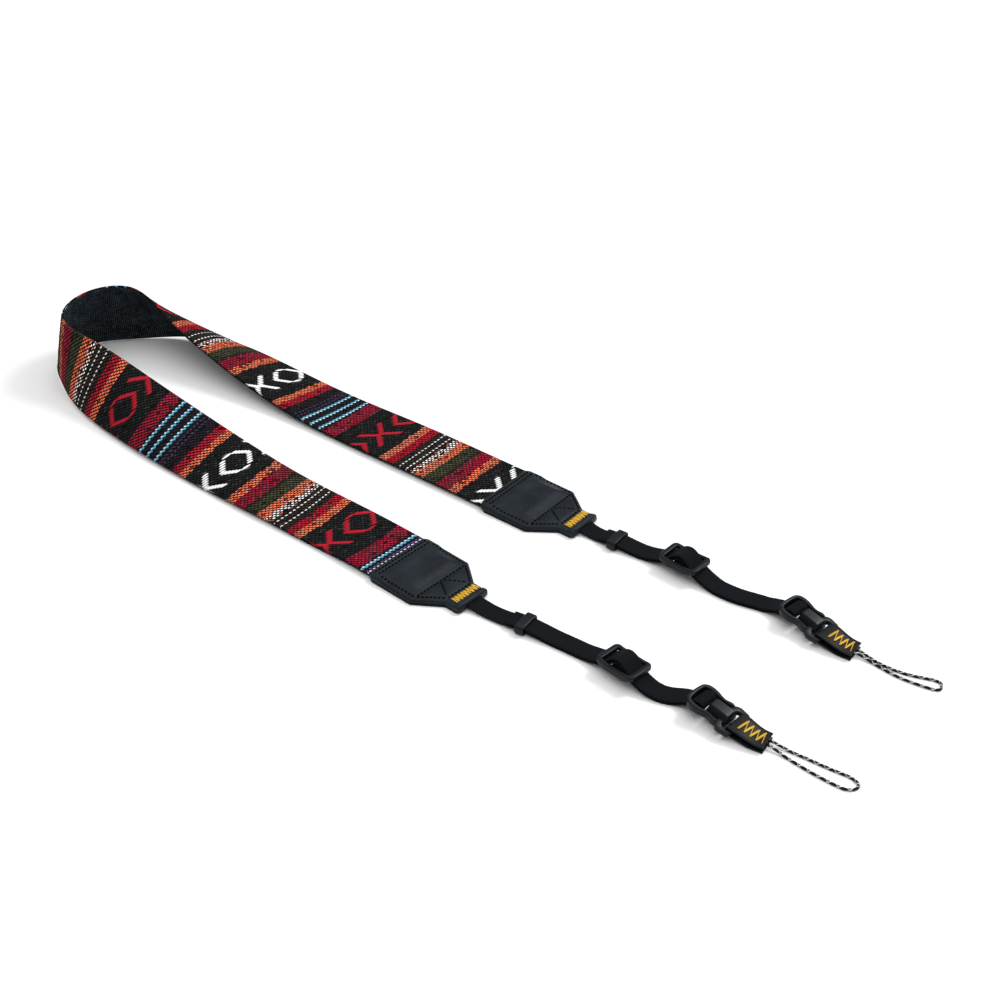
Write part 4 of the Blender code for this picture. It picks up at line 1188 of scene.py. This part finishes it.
def build_cap(arm, band, leather):
    """Cap of the arm with the pockets for band and webbing, carried along its length.

    Each ring runs over the top from edge to edge, down the rim, along its foot to the pocket,
    up, over the pocket's ceiling and back. Where there is no pocket the ceiling is the foot.
    """
    end = leather.length + CAP_LIP
    cover = CAP_COVER + GAP + ARMS[arm]["cap_lap"]
    web = leather.length - WEBBING_IN_CAP - GAP
    rim = CAP_RIM * (1 - np.cos(np.linspace(0, 1.57, 6)))
    s = np.unique(np.concatenate([np.linspace(0.0, end, 150), rim, end - rim,
                                  [cover, cover + 2e-5, web - 2e-5, web]]))
    strap_pocket = s < cover + 1e-5
    web_pocket = s > web - 1e-5
    ceiling = np.where(strap_pocket, CAP_TOP - CAP_LEATHER,
                       np.where(web_pocket, BAND_END_HEIGHT + 0.0005 + GAP, CAP_LOW))
    width = cap_half_width(s, leather)
    room = np.where(s < 0.5 * (cover + web), 0.0190 + 1.2 * GAP, 0.0052 + GAP)
    room = np.minimum(room, width - 0.0006)
    x = np.linspace(-1.0, 1.0, 91)
    t = width[:, None] * (0.72 * x + 0.28 * np.sin(0.5 * math.pi * x))[None, :]
    top = cap_height(s[:, None], t, leather, cap_rows(leather))
    foot = np.stack([width, width * 0.985, room, room, -room, -room, -width * 0.985, -width], 1)
    low = np.full(len(s), CAP_LOW)
    foot_z = np.stack([low + 0.0002, low, low, ceiling, ceiling, low, low, low + 0.0002], 1)
    rings = cap_points(arm, band, s[:, None], np.concatenate([t, foot], 1),
                       np.concatenate([top, foot_z], 1))
    cap = tube("padded_cap_" + arm, rings, bpy.data.materials["charcoal_leather_grain"], None, 45.0)
    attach(cap, "root")
    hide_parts("leather_cap_" + arm)


def sew_cap(arm, band, leather):
    """Black stitches along the cap's rows, each turned a little against its row."""
    rows = cap_rows(leather)
    centres, along = [], []
    for a, b in rows:
        run = np.linalg.norm(b - a)
        count = max(2, round(run / leather.stitch))
        share = (np.arange(count) + 0.5) / count
        centres.append(a[None, :] + share[:, None] * (b - a)[None, :])
        along.append(np.repeat(((b - a) / run)[None, :], count, 0))
    s, t = np.concatenate(centres).T
    where = cap_points(arm, band, s, t, cap_height(s, t, leather, rows) + 0.00012)
    cos, sin = math.cos(SEAM_SLANT), math.sin(SEAM_SLANT)
    slanted = np.concatenate(along) @ np.array([[cos, sin], [-sin, cos]])
    _, away, aside = cap_place(arm, band)
    ahead = slanted[:, :1] * away + slanted[:, 1:] * aside
    normal = np.repeat([[0.0, 0.0, 1.0]], len(where), 0)
    sewn = stitches("cap_stitching_" + arm, where, ahead, normal, 0.62 * leather.stitch, 0.00100, 0.00046,
                    bpy.data.materials["black_thread"])
    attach(sewn, "root")


def tack_cap(arm, band, leather):
    """Yellow bar tack across the cap's tip, its stitches slanted by turns and a little uneven."""
    number = np.arange(leather.tacks)
    across = ((number + 0.5) / leather.tacks - 0.5) * 0.0160
    middle = 0.0461 + 0.00018 * np.sin(number * 2.4)
    top = cap_height(middle, across, leather, cap_rows(leather))
    where = cap_points(arm, band, middle, across, top + 0.00016)
    slant = SEAM_SLANT * np.where(number % 2, 1.0, -0.3)
    _, away, aside = cap_place(arm, band)
    ahead = np.cos(slant)[:, None] * away + np.sin(slant)[:, None] * aside
    normal = np.repeat([[0.0, 0.0, 1.0]], len(where), 0)
    tack = stitches("bar_tack_" + arm, where, ahead, normal, 0.0042 + 0.0003 * np.cos(number * 1.7),
                    0.00088, 0.0006, bpy.data.materials["yellow_thread"], 0.00018)
    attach(tack, "root")


class NECKSTRAP_OT_caps(bpy.types.Operator):
    """Padded leather caps with their stitch rows and yellow bar tacks"""
    bl_idname = "neck_strap.caps"
    bl_label = "Leather caps"

    def execute(self, context):
        band = context.scene.neck_strap_band
        leather = context.scene.neck_strap_leather
        leather_material("charcoal_leather_grain", leather.colour, 0.40, 1150.0, 0.35)
        leather_material("black_tab_leather_grain", linear(15, 17, 20), 0.46, 1300.0, 0.25)
        thread_material("black_thread", linear(4, 5, 6), 0.8, 0.02)
        thread_material("yellow_thread", leather.thread, 0.42)
        under = leather_material("cap_underside_grain", linear(28, 31, 35), 0.5, 1000.0, 0.5)
        for arm in ARMS:
            build_cap(arm, band, leather)
            sew_cap(arm, band, leather)
            tack_cap(arm, band, leather)
            for slot in NODES["cap_underside_" + arm].material_slots:
                slot.material = under
        return {"FINISHED"}


def strip_rings(line, plan, half_width, thickness, relief, corners=3):
    """Rings of a flat strip along a side view line of (x, z) on a plan curve y(x).

    The ring is a flat section with rounded edges; relief is the extra half thickness at each
    point of the line. The side view's normal gives the thickness, the plan's heading the width.
    """
    ahead = np.gradient(line, axis=0)
    ahead /= np.linalg.norm(ahead, axis=1)[:, None]
    normal = np.stack([-ahead[:, 1], ahead[:, 0]], 1)
    y = plan(line[:, 0])[:, 0]
    turn = np.arctan2(plan(line[:, 0] + 0.001)[:, 0] - plan(line[:, 0] - 0.001)[:, 0], 0.002)
    arc = np.linspace(0.5 * math.pi, -0.5 * math.pi, corners + 2)[1:-1]
    columns = np.linspace(-1.0, 1.0, 7)
    across = np.concatenate([columns, 1.0 + 0.0 * arc, columns[::-1], -1.0 + 0.0 * arc])
    bulge = np.concatenate([0.0 * columns, np.cos(arc), 0.0 * columns, -np.cos(arc)])
    height = np.concatenate([0.0 * columns + 1.0, np.sin(arc), 0.0 * columns - 1.0, -np.sin(arc)])
    half_width = np.broadcast_to(half_width, len(line))
    half = 0.5 * thickness + relief
    out = across[None, :] * (half_width[:, None] - half[:, None]) + bulge[None, :] * half[:, None]
    rise = height[None, :] * half[:, None]
    rings = np.stack([line[:, :1] + rise * normal[:, :1] - out * np.sin(turn)[:, None],
                      y[:, None] + out * np.cos(turn)[:, None],
                      line[:, 1:] + rise * normal[:, 1:]], -1)
    return rings, out


def webbing_route(arm, context):
    """Side view of the webbing and its plan: from the cap to the buckle bar, round it and back."""
    band = context.scene.neck_strap_band
    webbing = context.scene.neck_strap_webbing
    spots = arm_spots(arm, band, context.scene.neck_strap_leather)
    keeper, slider, bar = (spots[name][0] for name in ("keeper", "slider", "bar"))
    tip = spots["tip"]
    thick = webbing.thickness
    pitch = thick + 1.2 * GAP
    rest = thick / 2 + 0.0002
    in_keeper = KEEPER_WALL + 0.0002 + GAP + thick / 2
    last_x = bar + WRAP_RADIUS * math.sin(WRAP_TILT)
    last_z = BAR_HEIGHT - WRAP_RADIUS * math.cos(WRAP_TILT)
    dip = SLIDER_LIFT - SLIDER_DIP
    to_keeper = keeper - KEEPER_LENGTH - tip[0]
    table = np.array([
        (tip[0] - WEBBING_IN_CAP, BAND_END_HEIGHT),
        (tip[0] - 0.36 * WEBBING_IN_CAP, BAND_END_HEIGHT),
        (tip[0] + 0.07 * WEBBING_IN_CAP, BAND_END_HEIGHT),
        (tip[0] + 0.4 * to_keeper, rest + 0.0006),
        (keeper - 0.8 * KEEPER_LENGTH, in_keeper),
        (keeper + 0.8 * KEEPER_LENGTH, in_keeper),
        (keeper + 3.0 * KEEPER_LENGTH, rest + 0.0002),
        (slider - SLIDER_REACH - SLIDER_RUN, rest + 0.0004),
        (slider - SLIDER_REACH, dip),
        (slider, SLIDER_LIFT),
        (slider + SLIDER_REACH, dip),
        (slider + SLIDER_REACH + 0.92 * SLIDER_RUN, rest + 0.0003),
        (bar - BUCKLE_RUN, rest + 0.0002),
        (bar - 0.9 * CLIP_REACH, last_z - 0.9 * WRAP_RADIUS),
        (last_x, last_z),
    ])
    height = smooth_curve(table[:, 0], table[:, 1])
    run = np.linspace(table[0, 0], last_x, 400)
    there = np.stack([run, np.maximum(height(run)[:, 0], rest)], 1)
    ahead = np.gradient(there, axis=0)
    ahead /= np.linalg.norm(ahead, axis=1)[:, None]
    normal = np.stack([-ahead[:, 1], ahead[:, 0]], 1)
    near_bar = ease((run - (bar - 3.1 * WRAP_RADIUS)) / (2.3 * WRAP_RADIUS))
    apart = pitch + (2.0 * WRAP_RADIUS - pitch) * near_bar
    hump = np.exp(-((run - slider - 0.0004) / HUMP_HALF) ** 2)
    over = there + normal * (apart + HUMP_UPPER * hump)[:, None]
    there = there + normal * (HUMP_LOWER * hump)[:, None]
    back = over[over[:, 0] > keeper - KEEPER_LENGTH / 2 - WEBBING_FREE_END][::-1]
    centre = 0.5 * (there[-1] + over[-1])
    spoke = there[-1] - centre
    angle = np.linspace(0.0, math.pi, 24)[1:-1, None]
    quarter = np.array([-spoke[1], spoke[0]])
    wrap = centre + np.cos(angle) * spoke + np.sin(angle) * quarter
    slope = spots["away"][1] / spots["away"][0]
    turn = math.tan(ARMS[arm]["yaw"])
    bar_y = spots["bar"][1]
    plan = smooth_curve(
        [tip[0] - WEBBING_IN_CAP, tip[0], keeper, slider, spots["sag"][0],
         bar - 1.6 * CLIP_REACH, bar - 0.6 * CLIP_REACH, bar + 0.004],
        [tip[1] - slope * WEBBING_IN_CAP, tip[1], spots["keeper"][1], spots["slider"][1], spots["sag"][1],
         bar_y - turn * 1.6 * CLIP_REACH, bar_y - turn * 0.6 * CLIP_REACH, bar_y + turn * 0.004])
    return np.concatenate([there, wrap, back]), plan


class NECKSTRAP_OT_webbing(bpy.types.Operator):
    """Ribbed narrow webbing of both arms, doubled back through slider and keeper"""
    bl_idname = "neck_strap.webbing"
    bl_label = "Adjuster webbing"

    def execute(self, context):
        webbing = context.scene.neck_strap_webbing
        move = frame_shift(context.scene.neck_strap_band)
        mat = ribbed_material("black_adjuster_webbing", webbing.colour, webbing.rib * 1000.0, 0.9, 0.7)
        for arm in ARMS:
            route, plan = webbing_route(arm, context)
            line, far = evened(route, 0.00022)
            ribs = 0.00005 * (np.abs(np.sin(math.pi * far / webbing.rib)) - 1.0)
            rings, out = strip_rings(line, plan, webbing.width / 2, webbing.thickness, ribs)
            column = np.concatenate([out, out[:, :1]], 1)
            uv = np.stack([np.broadcast_to(far[:, None], column.shape), column], -1)
            made = tube("webbing_" + arm, rings + move, mat, uv, 60.0)
            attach(made, "root")
            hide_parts("adjuster_webbing_" + arm)
        return {"FINISHED"}


def tab_route(arm, context):
    """Side view of the folded tab, its plan, the bar's place and the height between the leathers."""
    spots = arm_spots(arm, context.scene.neck_strap_band, context.scene.neck_strap_leather)
    cord = context.scene.neck_strap_cord
    end_x, end_y = spots["tab_end"]
    yaw = ARMS[arm]["yaw"]
    middle = 0.5 * (BASE_BAR[0] + BASE_BAR[1])
    bar_x = spots["bar"][0] + middle * math.cos(BAR_PITCH) * math.cos(yaw)
    bar_y = spots["bar"][1] + middle * math.cos(BAR_PITCH) * math.sin(yaw)
    bar_z = BAR_HEIGHT - middle * math.sin(BAR_PITCH)
    reach = BASE_BAR[1] - middle + 2.4 * GAP + TAB_LEATHER / 2
    low = bar_z + BASE_BAR_LOW - 1.6 * GAP - TAB_LEATHER / 2
    high = bar_z + BASE_BAR_HIGH + GAP + TAB_LEATHER / 2 + 0.0003
    floor = TAB_LEATHER / 2 + 0.0002
    apart = cord.diameter + 2.0 * GAP + TAB_LEATHER
    lower = smooth_curve([bar_x - 0.0006, bar_x + 0.0040, end_x - 0.006, end_x],
                         [low, low - 0.0004, floor, floor])
    upper = smooth_curve([bar_x - 0.0006, bar_x + 0.0030, end_x - 0.004, end_x],
                         [high, high - 0.0004, floor + apart + 0.0002, floor + apart])
    run = np.linspace(bar_x - 0.0006, end_x, 60)
    under = np.stack([run[::-1], np.maximum(lower(run[::-1])[:, 0], floor)], 1)
    over = np.stack([run, np.maximum(upper(run)[:, 0], under[::-1, 1] + apart)], 1)
    centre_z = 0.5 * (under[-1, 1] + over[0, 1])
    half = 0.5 * (over[0, 1] - under[-1, 1])
    angle = np.linspace(0.0, math.pi, 17)[1:-1]
    turn = np.stack([run[0] - (reach - 0.0006) * np.sin(angle), centre_z - half * np.cos(angle)], 1)
    lean = 0.003 * math.tan(yaw)
    plan = smooth_curve([bar_x - 0.003, bar_x, bar_x + 0.003, end_x + 0.002],
                        [bar_y - lean, bar_y, bar_y + lean, end_y])
    return np.concatenate([under, turn, over]), plan, (bar_x, end_x), floor + 0.5 * apart, upper


class NECKSTRAP_OT_tabs(bpy.types.Operator):
    """Folded leather tabs with a yellow zigzag seam over the cord's ends"""
    bl_idname = "neck_strap.tabs"
    bl_label = "End tabs"

    def execute(self, context):
        move = frame_shift(context.scene.neck_strap_band)
        mat = bpy.data.materials["black_tab_leather_grain"]
        for arm in ARMS:
            route, plan, (bar_x, end_x), _, upper = tab_route(arm, context)
            line, far = evened(route, 0.0003)
            share = np.clip((line[:, 0] - bar_x) / (end_x - bar_x), 0.0, 1.0)
            half = 0.5 * (0.0128 - 0.0012 * share)
            rings, _ = strip_rings(line, plan, half, TAB_LEATHER, 0.0 * far)
            made = tube("folded_tab_" + arm, rings + move, mat, None, 60.0)
            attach(made, "root")
            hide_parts("end_tab_" + arm)
            self.sew(arm, plan, upper, end_x, move)
        return {"FINISHED"}

    def sew(self, arm, plan, upper, end_x, move):
        """Zigzag of threads along the tab, each from one side of the seam to the other."""
        pitch = 0.0030
        corner = np.arange(9)
        swing = np.array([3.3, 3.6, 2.9, 3.1, 2.9, 3.1, 2.9, 3.5, 3.3])
        t = np.where(corner % 2, 1.0, -1.0) * swing * 0.001
        x = end_x - 0.0011 - pitch * (8 - corner + 0.2 * (corner % 2)) / 2.0
        corners = np.stack([x, plan(x)[:, 0] + t, upper(x)[:, 0] + TAB_LEATHER / 2 + 0.00026], 1)
        ahead = np.diff(corners, axis=0)
        length = np.linalg.norm(ahead, axis=1)
        ahead /= length[:, None]
        normal = np.cross(ahead, np.cross([0.0, 0.0, 1.0], ahead))
        middle = 0.5 * (corners[1:] + corners[:-1]) + move
        width = np.where(corner[:-1] % 2, 0.00050, 0.00125)
        seam = stitches("zigzag_seam_" + arm, middle, ahead, normal, length * 1.10, width, 0.00062,
                        bpy.data.materials["yellow_thread"], 0.00012)
        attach(seam, "root")


class NECKSTRAP_OT_cords(bpy.types.Operator):
    """Thin flecked cord loops, each from between a tab's leathers out and back"""
    bl_idname = "neck_strap.cords"
    bl_label = "Cord loops"

    def execute(self, context):
        cord = context.scene.neck_strap_cord
        band = context.scene.neck_strap_band
        move = frame_shift(band)
        mat = cord_material(cord)
        for arm in ARMS:
            _, _, (_, end_x), height_in_tab, _ = tab_route(arm, context)
            route = np.array(arm_spots(arm, band, context.scene.neck_strap_leather)["cord"])
            knots = np.concatenate([[0.0], np.cumsum(np.linalg.norm(np.diff(route, axis=0), axis=1))])
            flat, far = evened(smooth_curve(knots, route)(np.linspace(0.0, knots[-1], 900)), 0.0003)
            lift = 1.0 - ease((flat[:, 0] - end_x) / 0.012)
            z = 0.0007 + (height_in_tab - 0.0007) * lift
            path = np.column_stack([flat, z]) + move
            ahead = np.gradient(path, axis=0)
            ahead /= np.linalg.norm(ahead, axis=1)[:, None]
            side = np.cross([0.0, 0.0, 1.0], ahead)
            side /= np.linalg.norm(side, axis=1)[:, None]
            top = np.cross(ahead, side)
            angle = np.linspace(0.0, 2.0 * math.pi, 15)
            radius = cord.diameter / 2
            braid = 1.0 + 0.05 * (np.sin(2.0 * angle[None, :] + far[:, None] * 5000.0)
                                  * np.sin(2.0 * angle[None, :] - far[:, None] * 5000.0))
            round_it = radius * braid[..., None] * (np.cos(angle)[None, :, None] * side[:, None, :]
                                                    + np.sin(angle)[None, :, None] * top[:, None, :])
            rings = (path[:, None, :] + round_it)[:, :-1]
            uv = np.stack(np.broadcast_arrays(far[:, None], (angle * radius)[None, :]), -1)
            made = tube("flecked_loop_" + arm, rings, mat, uv, 60.0)
            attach(made, "root")
            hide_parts("cord_loop_" + arm)
        return {"FINISHED"}


def turned(points, where, yaw, pitch=0.0):
    """Points of a piece's own frame, nose down by pitch, then turned by yaw, then moved."""
    u, v, w = points[..., 0], points[..., 1], points[..., 2]
    ahead = u * math.cos(pitch) + w * math.sin(pitch)
    up = w * math.cos(pitch) - u * math.sin(pitch)
    return np.stack([where[0] + ahead * math.cos(yaw) - v * math.sin(yaw),
                     where[1] + ahead * math.sin(yaw) + v * math.cos(yaw), where[2] + up], -1)


class NECKSTRAP_OT_hardware(bpy.types.Operator):
    """Moulded keepers, sliders and side-release buckles with rounded bars"""
    bl_idname = "neck_strap.hardware"
    bl_label = "Plastic hardware"

    def execute(self, context):
        webbing = context.scene.neck_strap_webbing
        self.plastic = plastic_material("moulded_black_plastic", webbing.plastic, 0.36)
        self.housing = plastic_material("moulded_grey_plastic", webbing.housing, 0.42)
        move = frame_shift(context.scene.neck_strap_band)
        for arm in ARMS:
            _, plan = webbing_route(arm, context)
            spots = arm_spots(arm, context.scene.neck_strap_band, context.scene.neck_strap_leather)
            for name, build in (("keeper", self.keeper), ("slider", self.slider)):
                x = spots[name][0]
                yaw = math.atan2(plan(x + 0.001)[0, 0] - plan(x - 0.001)[0, 0], 0.002)
                build(arm, np.array([x, plan(x)[0, 0], 0.0]) + move, yaw)
            where = np.array([spots["bar"][0], spots["bar"][1], BAR_HEIGHT]) + move
            self.clip(arm, where, ARMS[arm]["yaw"])
            self.housing_half(arm, where, ARMS[arm]["yaw"])
        return {"FINISHED"}

    def piece(self, name, rings, mat, slot, node=None, loop=False, smooth=42.0):
        """Piece of hardware through rings, in place of the CAD piece named node if one is named."""
        made = tube(name, rings, mat, None, smooth, loop)
        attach(made, "root")
        if node:
            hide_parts(node)
        return made

    def keeper(self, arm, where, yaw):
        """Flat ring round both layers of webbing, its corners rounded and its top crowned."""
        inner = rounded_rectangle(0.0058, 0.00155, 0.0007)
        outer = rounded_rectangle(0.0068, 0.00250, 0.0017)
        outer[:, 1] += 0.0003 * np.clip(outer[:, 1] / 0.0025, 0.0, 1.0) * np.cos(outer[:, 0] / 0.0068 * 1.3)
        rings = bar_rings(outer, inner, -KEEPER_LENGTH / 2, KEEPER_LENGTH / 2, 5.0)
        points = np.stack([rings[..., 2], rings[..., 0], rings[..., 1] + 0.00262], -1)
        self.piece("webbing_keeper_" + arm, turned(points, where, yaw), self.plastic, "black_plastic",
                   "keeper_" + arm, True)

    def slider(self, arm, where, yaw):
        """Frame of two rails and two end bars, with a lower middle bar under the webbing."""
        inner = rounded_rectangle(0.0086, 0.00575, 0.0008)
        outer = rounded_rectangle(0.0115, 0.0077, 0.0026)
        at_end = ease((np.abs(outer[:, 0]) - 0.0078) / 0.0018)
        rings = bar_rings(outer, inner, 0.0046 + 0.0018 * at_end, 0.0087 + 0.0003 * at_end, 4.2)
        self.piece("slider_frame_" + arm, turned(rings, where, yaw), self.plastic, "black_plastic",
                   "slider_" + arm, True)
        across = np.linspace(-0.0062, 0.0062, 9)
        line = np.stack([0.0 * across, across], 1)
        rings = bar_rings(line + [0.0034, 0.0], line - [0.0034, 0.0], 0.0050, 0.0084, 2.6)
        self.piece("slider_bar_" + arm, turned(rings, where, yaw), self.plastic, "black_plastic")

    def clip(self, arm, where, yaw):
        """Arched frame whose two arms run along the housing, and the bar that holds the webbing."""
        half = [(0.0112, 0.0072, 0.0112, 0.0059), (0.0095, 0.0076, 0.0090, 0.0056),
                (0.0070, 0.0069, 0.0065, 0.0053), (0.0040, 0.0072, 0.0040, 0.0054),
                (0.0010, 0.0080, 0.0010, 0.0058), (-0.0018, 0.0082, -0.0015, 0.0059),
                (-0.0046, 0.0075, -0.0036, 0.0055), (-0.0064, 0.0058, -0.0047, 0.0046),
                (-0.0071, 0.0030, -0.0050, 0.0024), (-0.0073, 0.0, -0.0051, 0.0)]
        table = smoothed(mirrored(half), 90)
        thick = 0.0017 + 0.0002 * ease((0.002 - table[:, 0]) / 0.008)
        rings = bar_rings(table[:, :2], table[:, 2:4], -thick - 0.0004, thick, 4.0)
        self.piece("clip_arch_" + arm, turned(rings, where, yaw, BAR_PITCH), self.plastic, "black_plastic",
                   "buckle_clip_" + arm)
        across = np.linspace(-0.0062, 0.0062, 9)
        line = np.stack([0.0 * across, across], 1)
        rings = bar_rings(line + [0.0008, 0.0], line - [0.0008, 0.0], -0.0008, 0.0008, 2.4)
        self.piece("clip_bar_" + arm, turned(rings, where, yaw, BAR_PITCH), self.plastic, "black_plastic")

    def housing_half(self, arm, where, yaw):
        """Faceted ridge along the middle, over a flared base with the slot for the leather tab."""
        rows = np.array([(0.0034, 0.0037, 0.0020, 0.0014), (0.0036, 0.0039, 0.0021, 0.0028),
                         (0.0046, 0.0043, 0.0024, 0.0036),
                         (0.0124, 0.0047, 0.0026, 0.0037), (0.0140, 0.0046, 0.0026, 0.0034),
                         (0.0145, 0.0043, 0.0024, 0.0022), (0.0147, 0.0040, 0.0022, 0.0008)])
        u, half, top_half, top = rows.T
        low = np.full(len(u), -0.0021)
        foot = -0.10 * top
        side = [(-half, low), (half, low), (half, foot), (top_half, top), (-top_half, top), (-half, foot)]
        rings = np.stack([np.stack([u, a, b], 1) for a, b in side], 1)
        ridge = self.piece("housing_ridge_" + arm, turned(rings, where, yaw, BAR_PITCH), self.housing,
                           "dark_grey_plastic", "buckle_housing_" + arm, False, 25.0)
        bevel = ridge.modifiers.new("rounded_edges", "BEVEL")
        bevel.width = 0.0004
        bevel.segments = 3
        half = [(0.0104, 0.0, 0.0135, 0.0, -2.1, 1.0), (0.0104, 0.0045, 0.0135, 0.0046, -2.1, 1.0),
                (0.0108, 0.0072, 0.0137, 0.0054, -2.1, 0.9), (0.0124, 0.0087, 0.0144, 0.0060, -2.1, 0.7),
                (0.0146, 0.0091, 0.0154, 0.0063, -2.2, 0.6), (0.0170, 0.0087, 0.0167, 0.0064, -2.2, 0.6),
                (0.0190, 0.0082, 0.0174, 0.0063, -2.0, 0.7), (0.0197, 0.0068, 0.0174, 0.0060, -1.4, 0.7),
                (0.0197, 0.0, 0.0174, 0.0, -1.4, 0.7)]
        table = mirrored(half)
        table = smoothed(np.concatenate([table, table[:1]]), 97)[:-1]
        rings = bar_rings(table[:, :2], table[:, 2:4], 0.001 * table[:, 4], 0.001 * table[:, 5], 5.0)
        self.piece("housing_base_" + arm, turned(rings, where, yaw, BAR_PITCH), self.housing,
                   "dark_grey_plastic", None, True)


class NECKSTRAP_OT_stage(bpy.types.Operator):
    """Pale floor, soft light and the camera"""
    bl_idname = "neck_strap.stage"
    bl_label = "Stage"

    def execute(self, context):
        stage = context.scene.neck_strap_stage
        move = frame_shift(context.scene.neck_strap_band)
        floor_mesh = bpy.data.meshes.new("floor")
        corners = [(x * FLOOR_HALF, y * FLOOR_HALF, 0.0) for x, y in ((-1, -1), (1, -1), (1, 1), (-1, 1))]
        floor_mesh.from_pydata(corners, [], [(0, 1, 2, 3)])
        floor = bpy.data.objects.new("floor", floor_mesh)
        context.scene.collection.objects.link(floor)
        mat, tree, shader = material("pale_floor", 0.9, Specular_IOR_Level=0.1)
        cloud = noise(tree, object_vector(tree, (1.0, 1.0, 1.0)), 3.0, 2.0)
        tree.links.new(shaded(tree, (0.90, 0.90, 0.90), cloud * 0.02 + 0.99), shader.inputs["Base Color"])
        floor_mesh.materials.append(mat)

        world = bpy.data.worlds.new("soft_sky")
        world.use_nodes = True
        tree = world.node_tree
        back = tree.nodes["Background"]
        place = tree.nodes.new("ShaderNodeTexCoord")
        split = tree.nodes.new("ShaderNodeSeparateXYZ")
        tree.links.new(place.outputs["Generated"], split.inputs[0])
        high = Wire(tree, split.outputs["Z"]).rise(0.45, 0.98)
        tree.links.new((high * (stage.sky * 1.5) + stage.sky * 0.28).socket, back.inputs["Strength"])
        back.inputs["Color"].default_value = (1.0, 1.0, 1.0, 1.0)
        context.scene.world = world
        self.lamp("key_light", (0.55, 1.05, 1.30), (0.0, 0.0, 0.0), 0.6, stage.key)
        context.scene.view_settings.view_transform = "Standard"

        camera_data = bpy.data.cameras.new("camera")
        camera_data.lens = stage.lens
        camera_data.sensor_width = 36.0
        camera = bpy.data.objects.new("camera", camera_data)
        context.scene.collection.objects.link(camera)
        camera.location = Vector(CAMERA_PLACE) + Vector(move)
        camera.rotation_euler = Vector(CAMERA_LOOK).to_track_quat("-Z", "Y").to_euler()
        camera_data.clip_start = 0.01
        context.scene.camera = camera
        return {"FINISHED"}

    def lamp(self, name, where, target, size, power):
        """Round soft light at a place, turned to its target."""
        data = bpy.data.lights.new(name, "AREA")
        data.shape = "DISK"
        data.size = size
        data.energy = power
        made = bpy.data.objects.new(name, data)
        bpy.context.scene.collection.objects.link(made)
        made.location = where
        made.rotation_euler = (Vector(target) - Vector(where)).to_track_quat("-Z", "Y").to_euler()


class NECKSTRAP_PT_panel(bpy.types.Panel):
    """Neck strap settings and builders"""
    bl_label = "Neck strap"
    bl_idname = "NECKSTRAP_PT_panel"
    bl_space_type = "VIEW_3D"
    bl_region_type = "UI"
    bl_category = "Neck strap"

    def draw(self, context):
        for name in SETTINGS:
            box = self.layout.box()
            group = getattr(context.scene, name)
            for key in group.bl_rna.properties.keys():
                if key not in {"rna_type", "name"}:
                    box.prop(group, key)
        for operator in OPERATORS:
            self.layout.operator(operator.bl_idname)


SETTINGS = {
    "neck_strap_band": NECKSTRAP_PG_band,
    "neck_strap_leather": NECKSTRAP_PG_leather,
    "neck_strap_webbing": NECKSTRAP_PG_webbing,
    "neck_strap_cord": NECKSTRAP_PG_cord,
    "neck_strap_stage": NECKSTRAP_PG_stage,
}
OPERATORS = (NECKSTRAP_OT_stage, NECKSTRAP_OT_band, NECKSTRAP_OT_backing, NECKSTRAP_OT_caps,
             NECKSTRAP_OT_tabs, NECKSTRAP_OT_cords, NECKSTRAP_OT_webbing, NECKSTRAP_OT_hardware)
CLASSES = (*SETTINGS.values(), *OPERATORS, NECKSTRAP_PT_panel)


def register():
    for cls in CLASSES:
        bpy.utils.register_class(cls)
    for name, cls in SETTINGS.items():
        setattr(bpy.types.Scene, name, PointerProperty(type=cls))


def unregister():
    for name in SETTINGS:
        delattr(bpy.types.Scene, name)
    for cls in reversed(CLASSES):
        bpy.utils.unregister_class(cls)


def main():
    register()
    grain_group()
    ribs_group()
    floats_group()
    bpy.ops.neck_strap.stage()
    bpy.ops.neck_strap.band()
    bpy.ops.neck_strap.backing()
    bpy.ops.neck_strap.caps()
    bpy.ops.neck_strap.tabs()
    bpy.ops.neck_strap.cords()
    bpy.ops.neck_strap.webbing()
    bpy.ops.neck_strap.hardware()


if __name__ == "__main__":
    main()
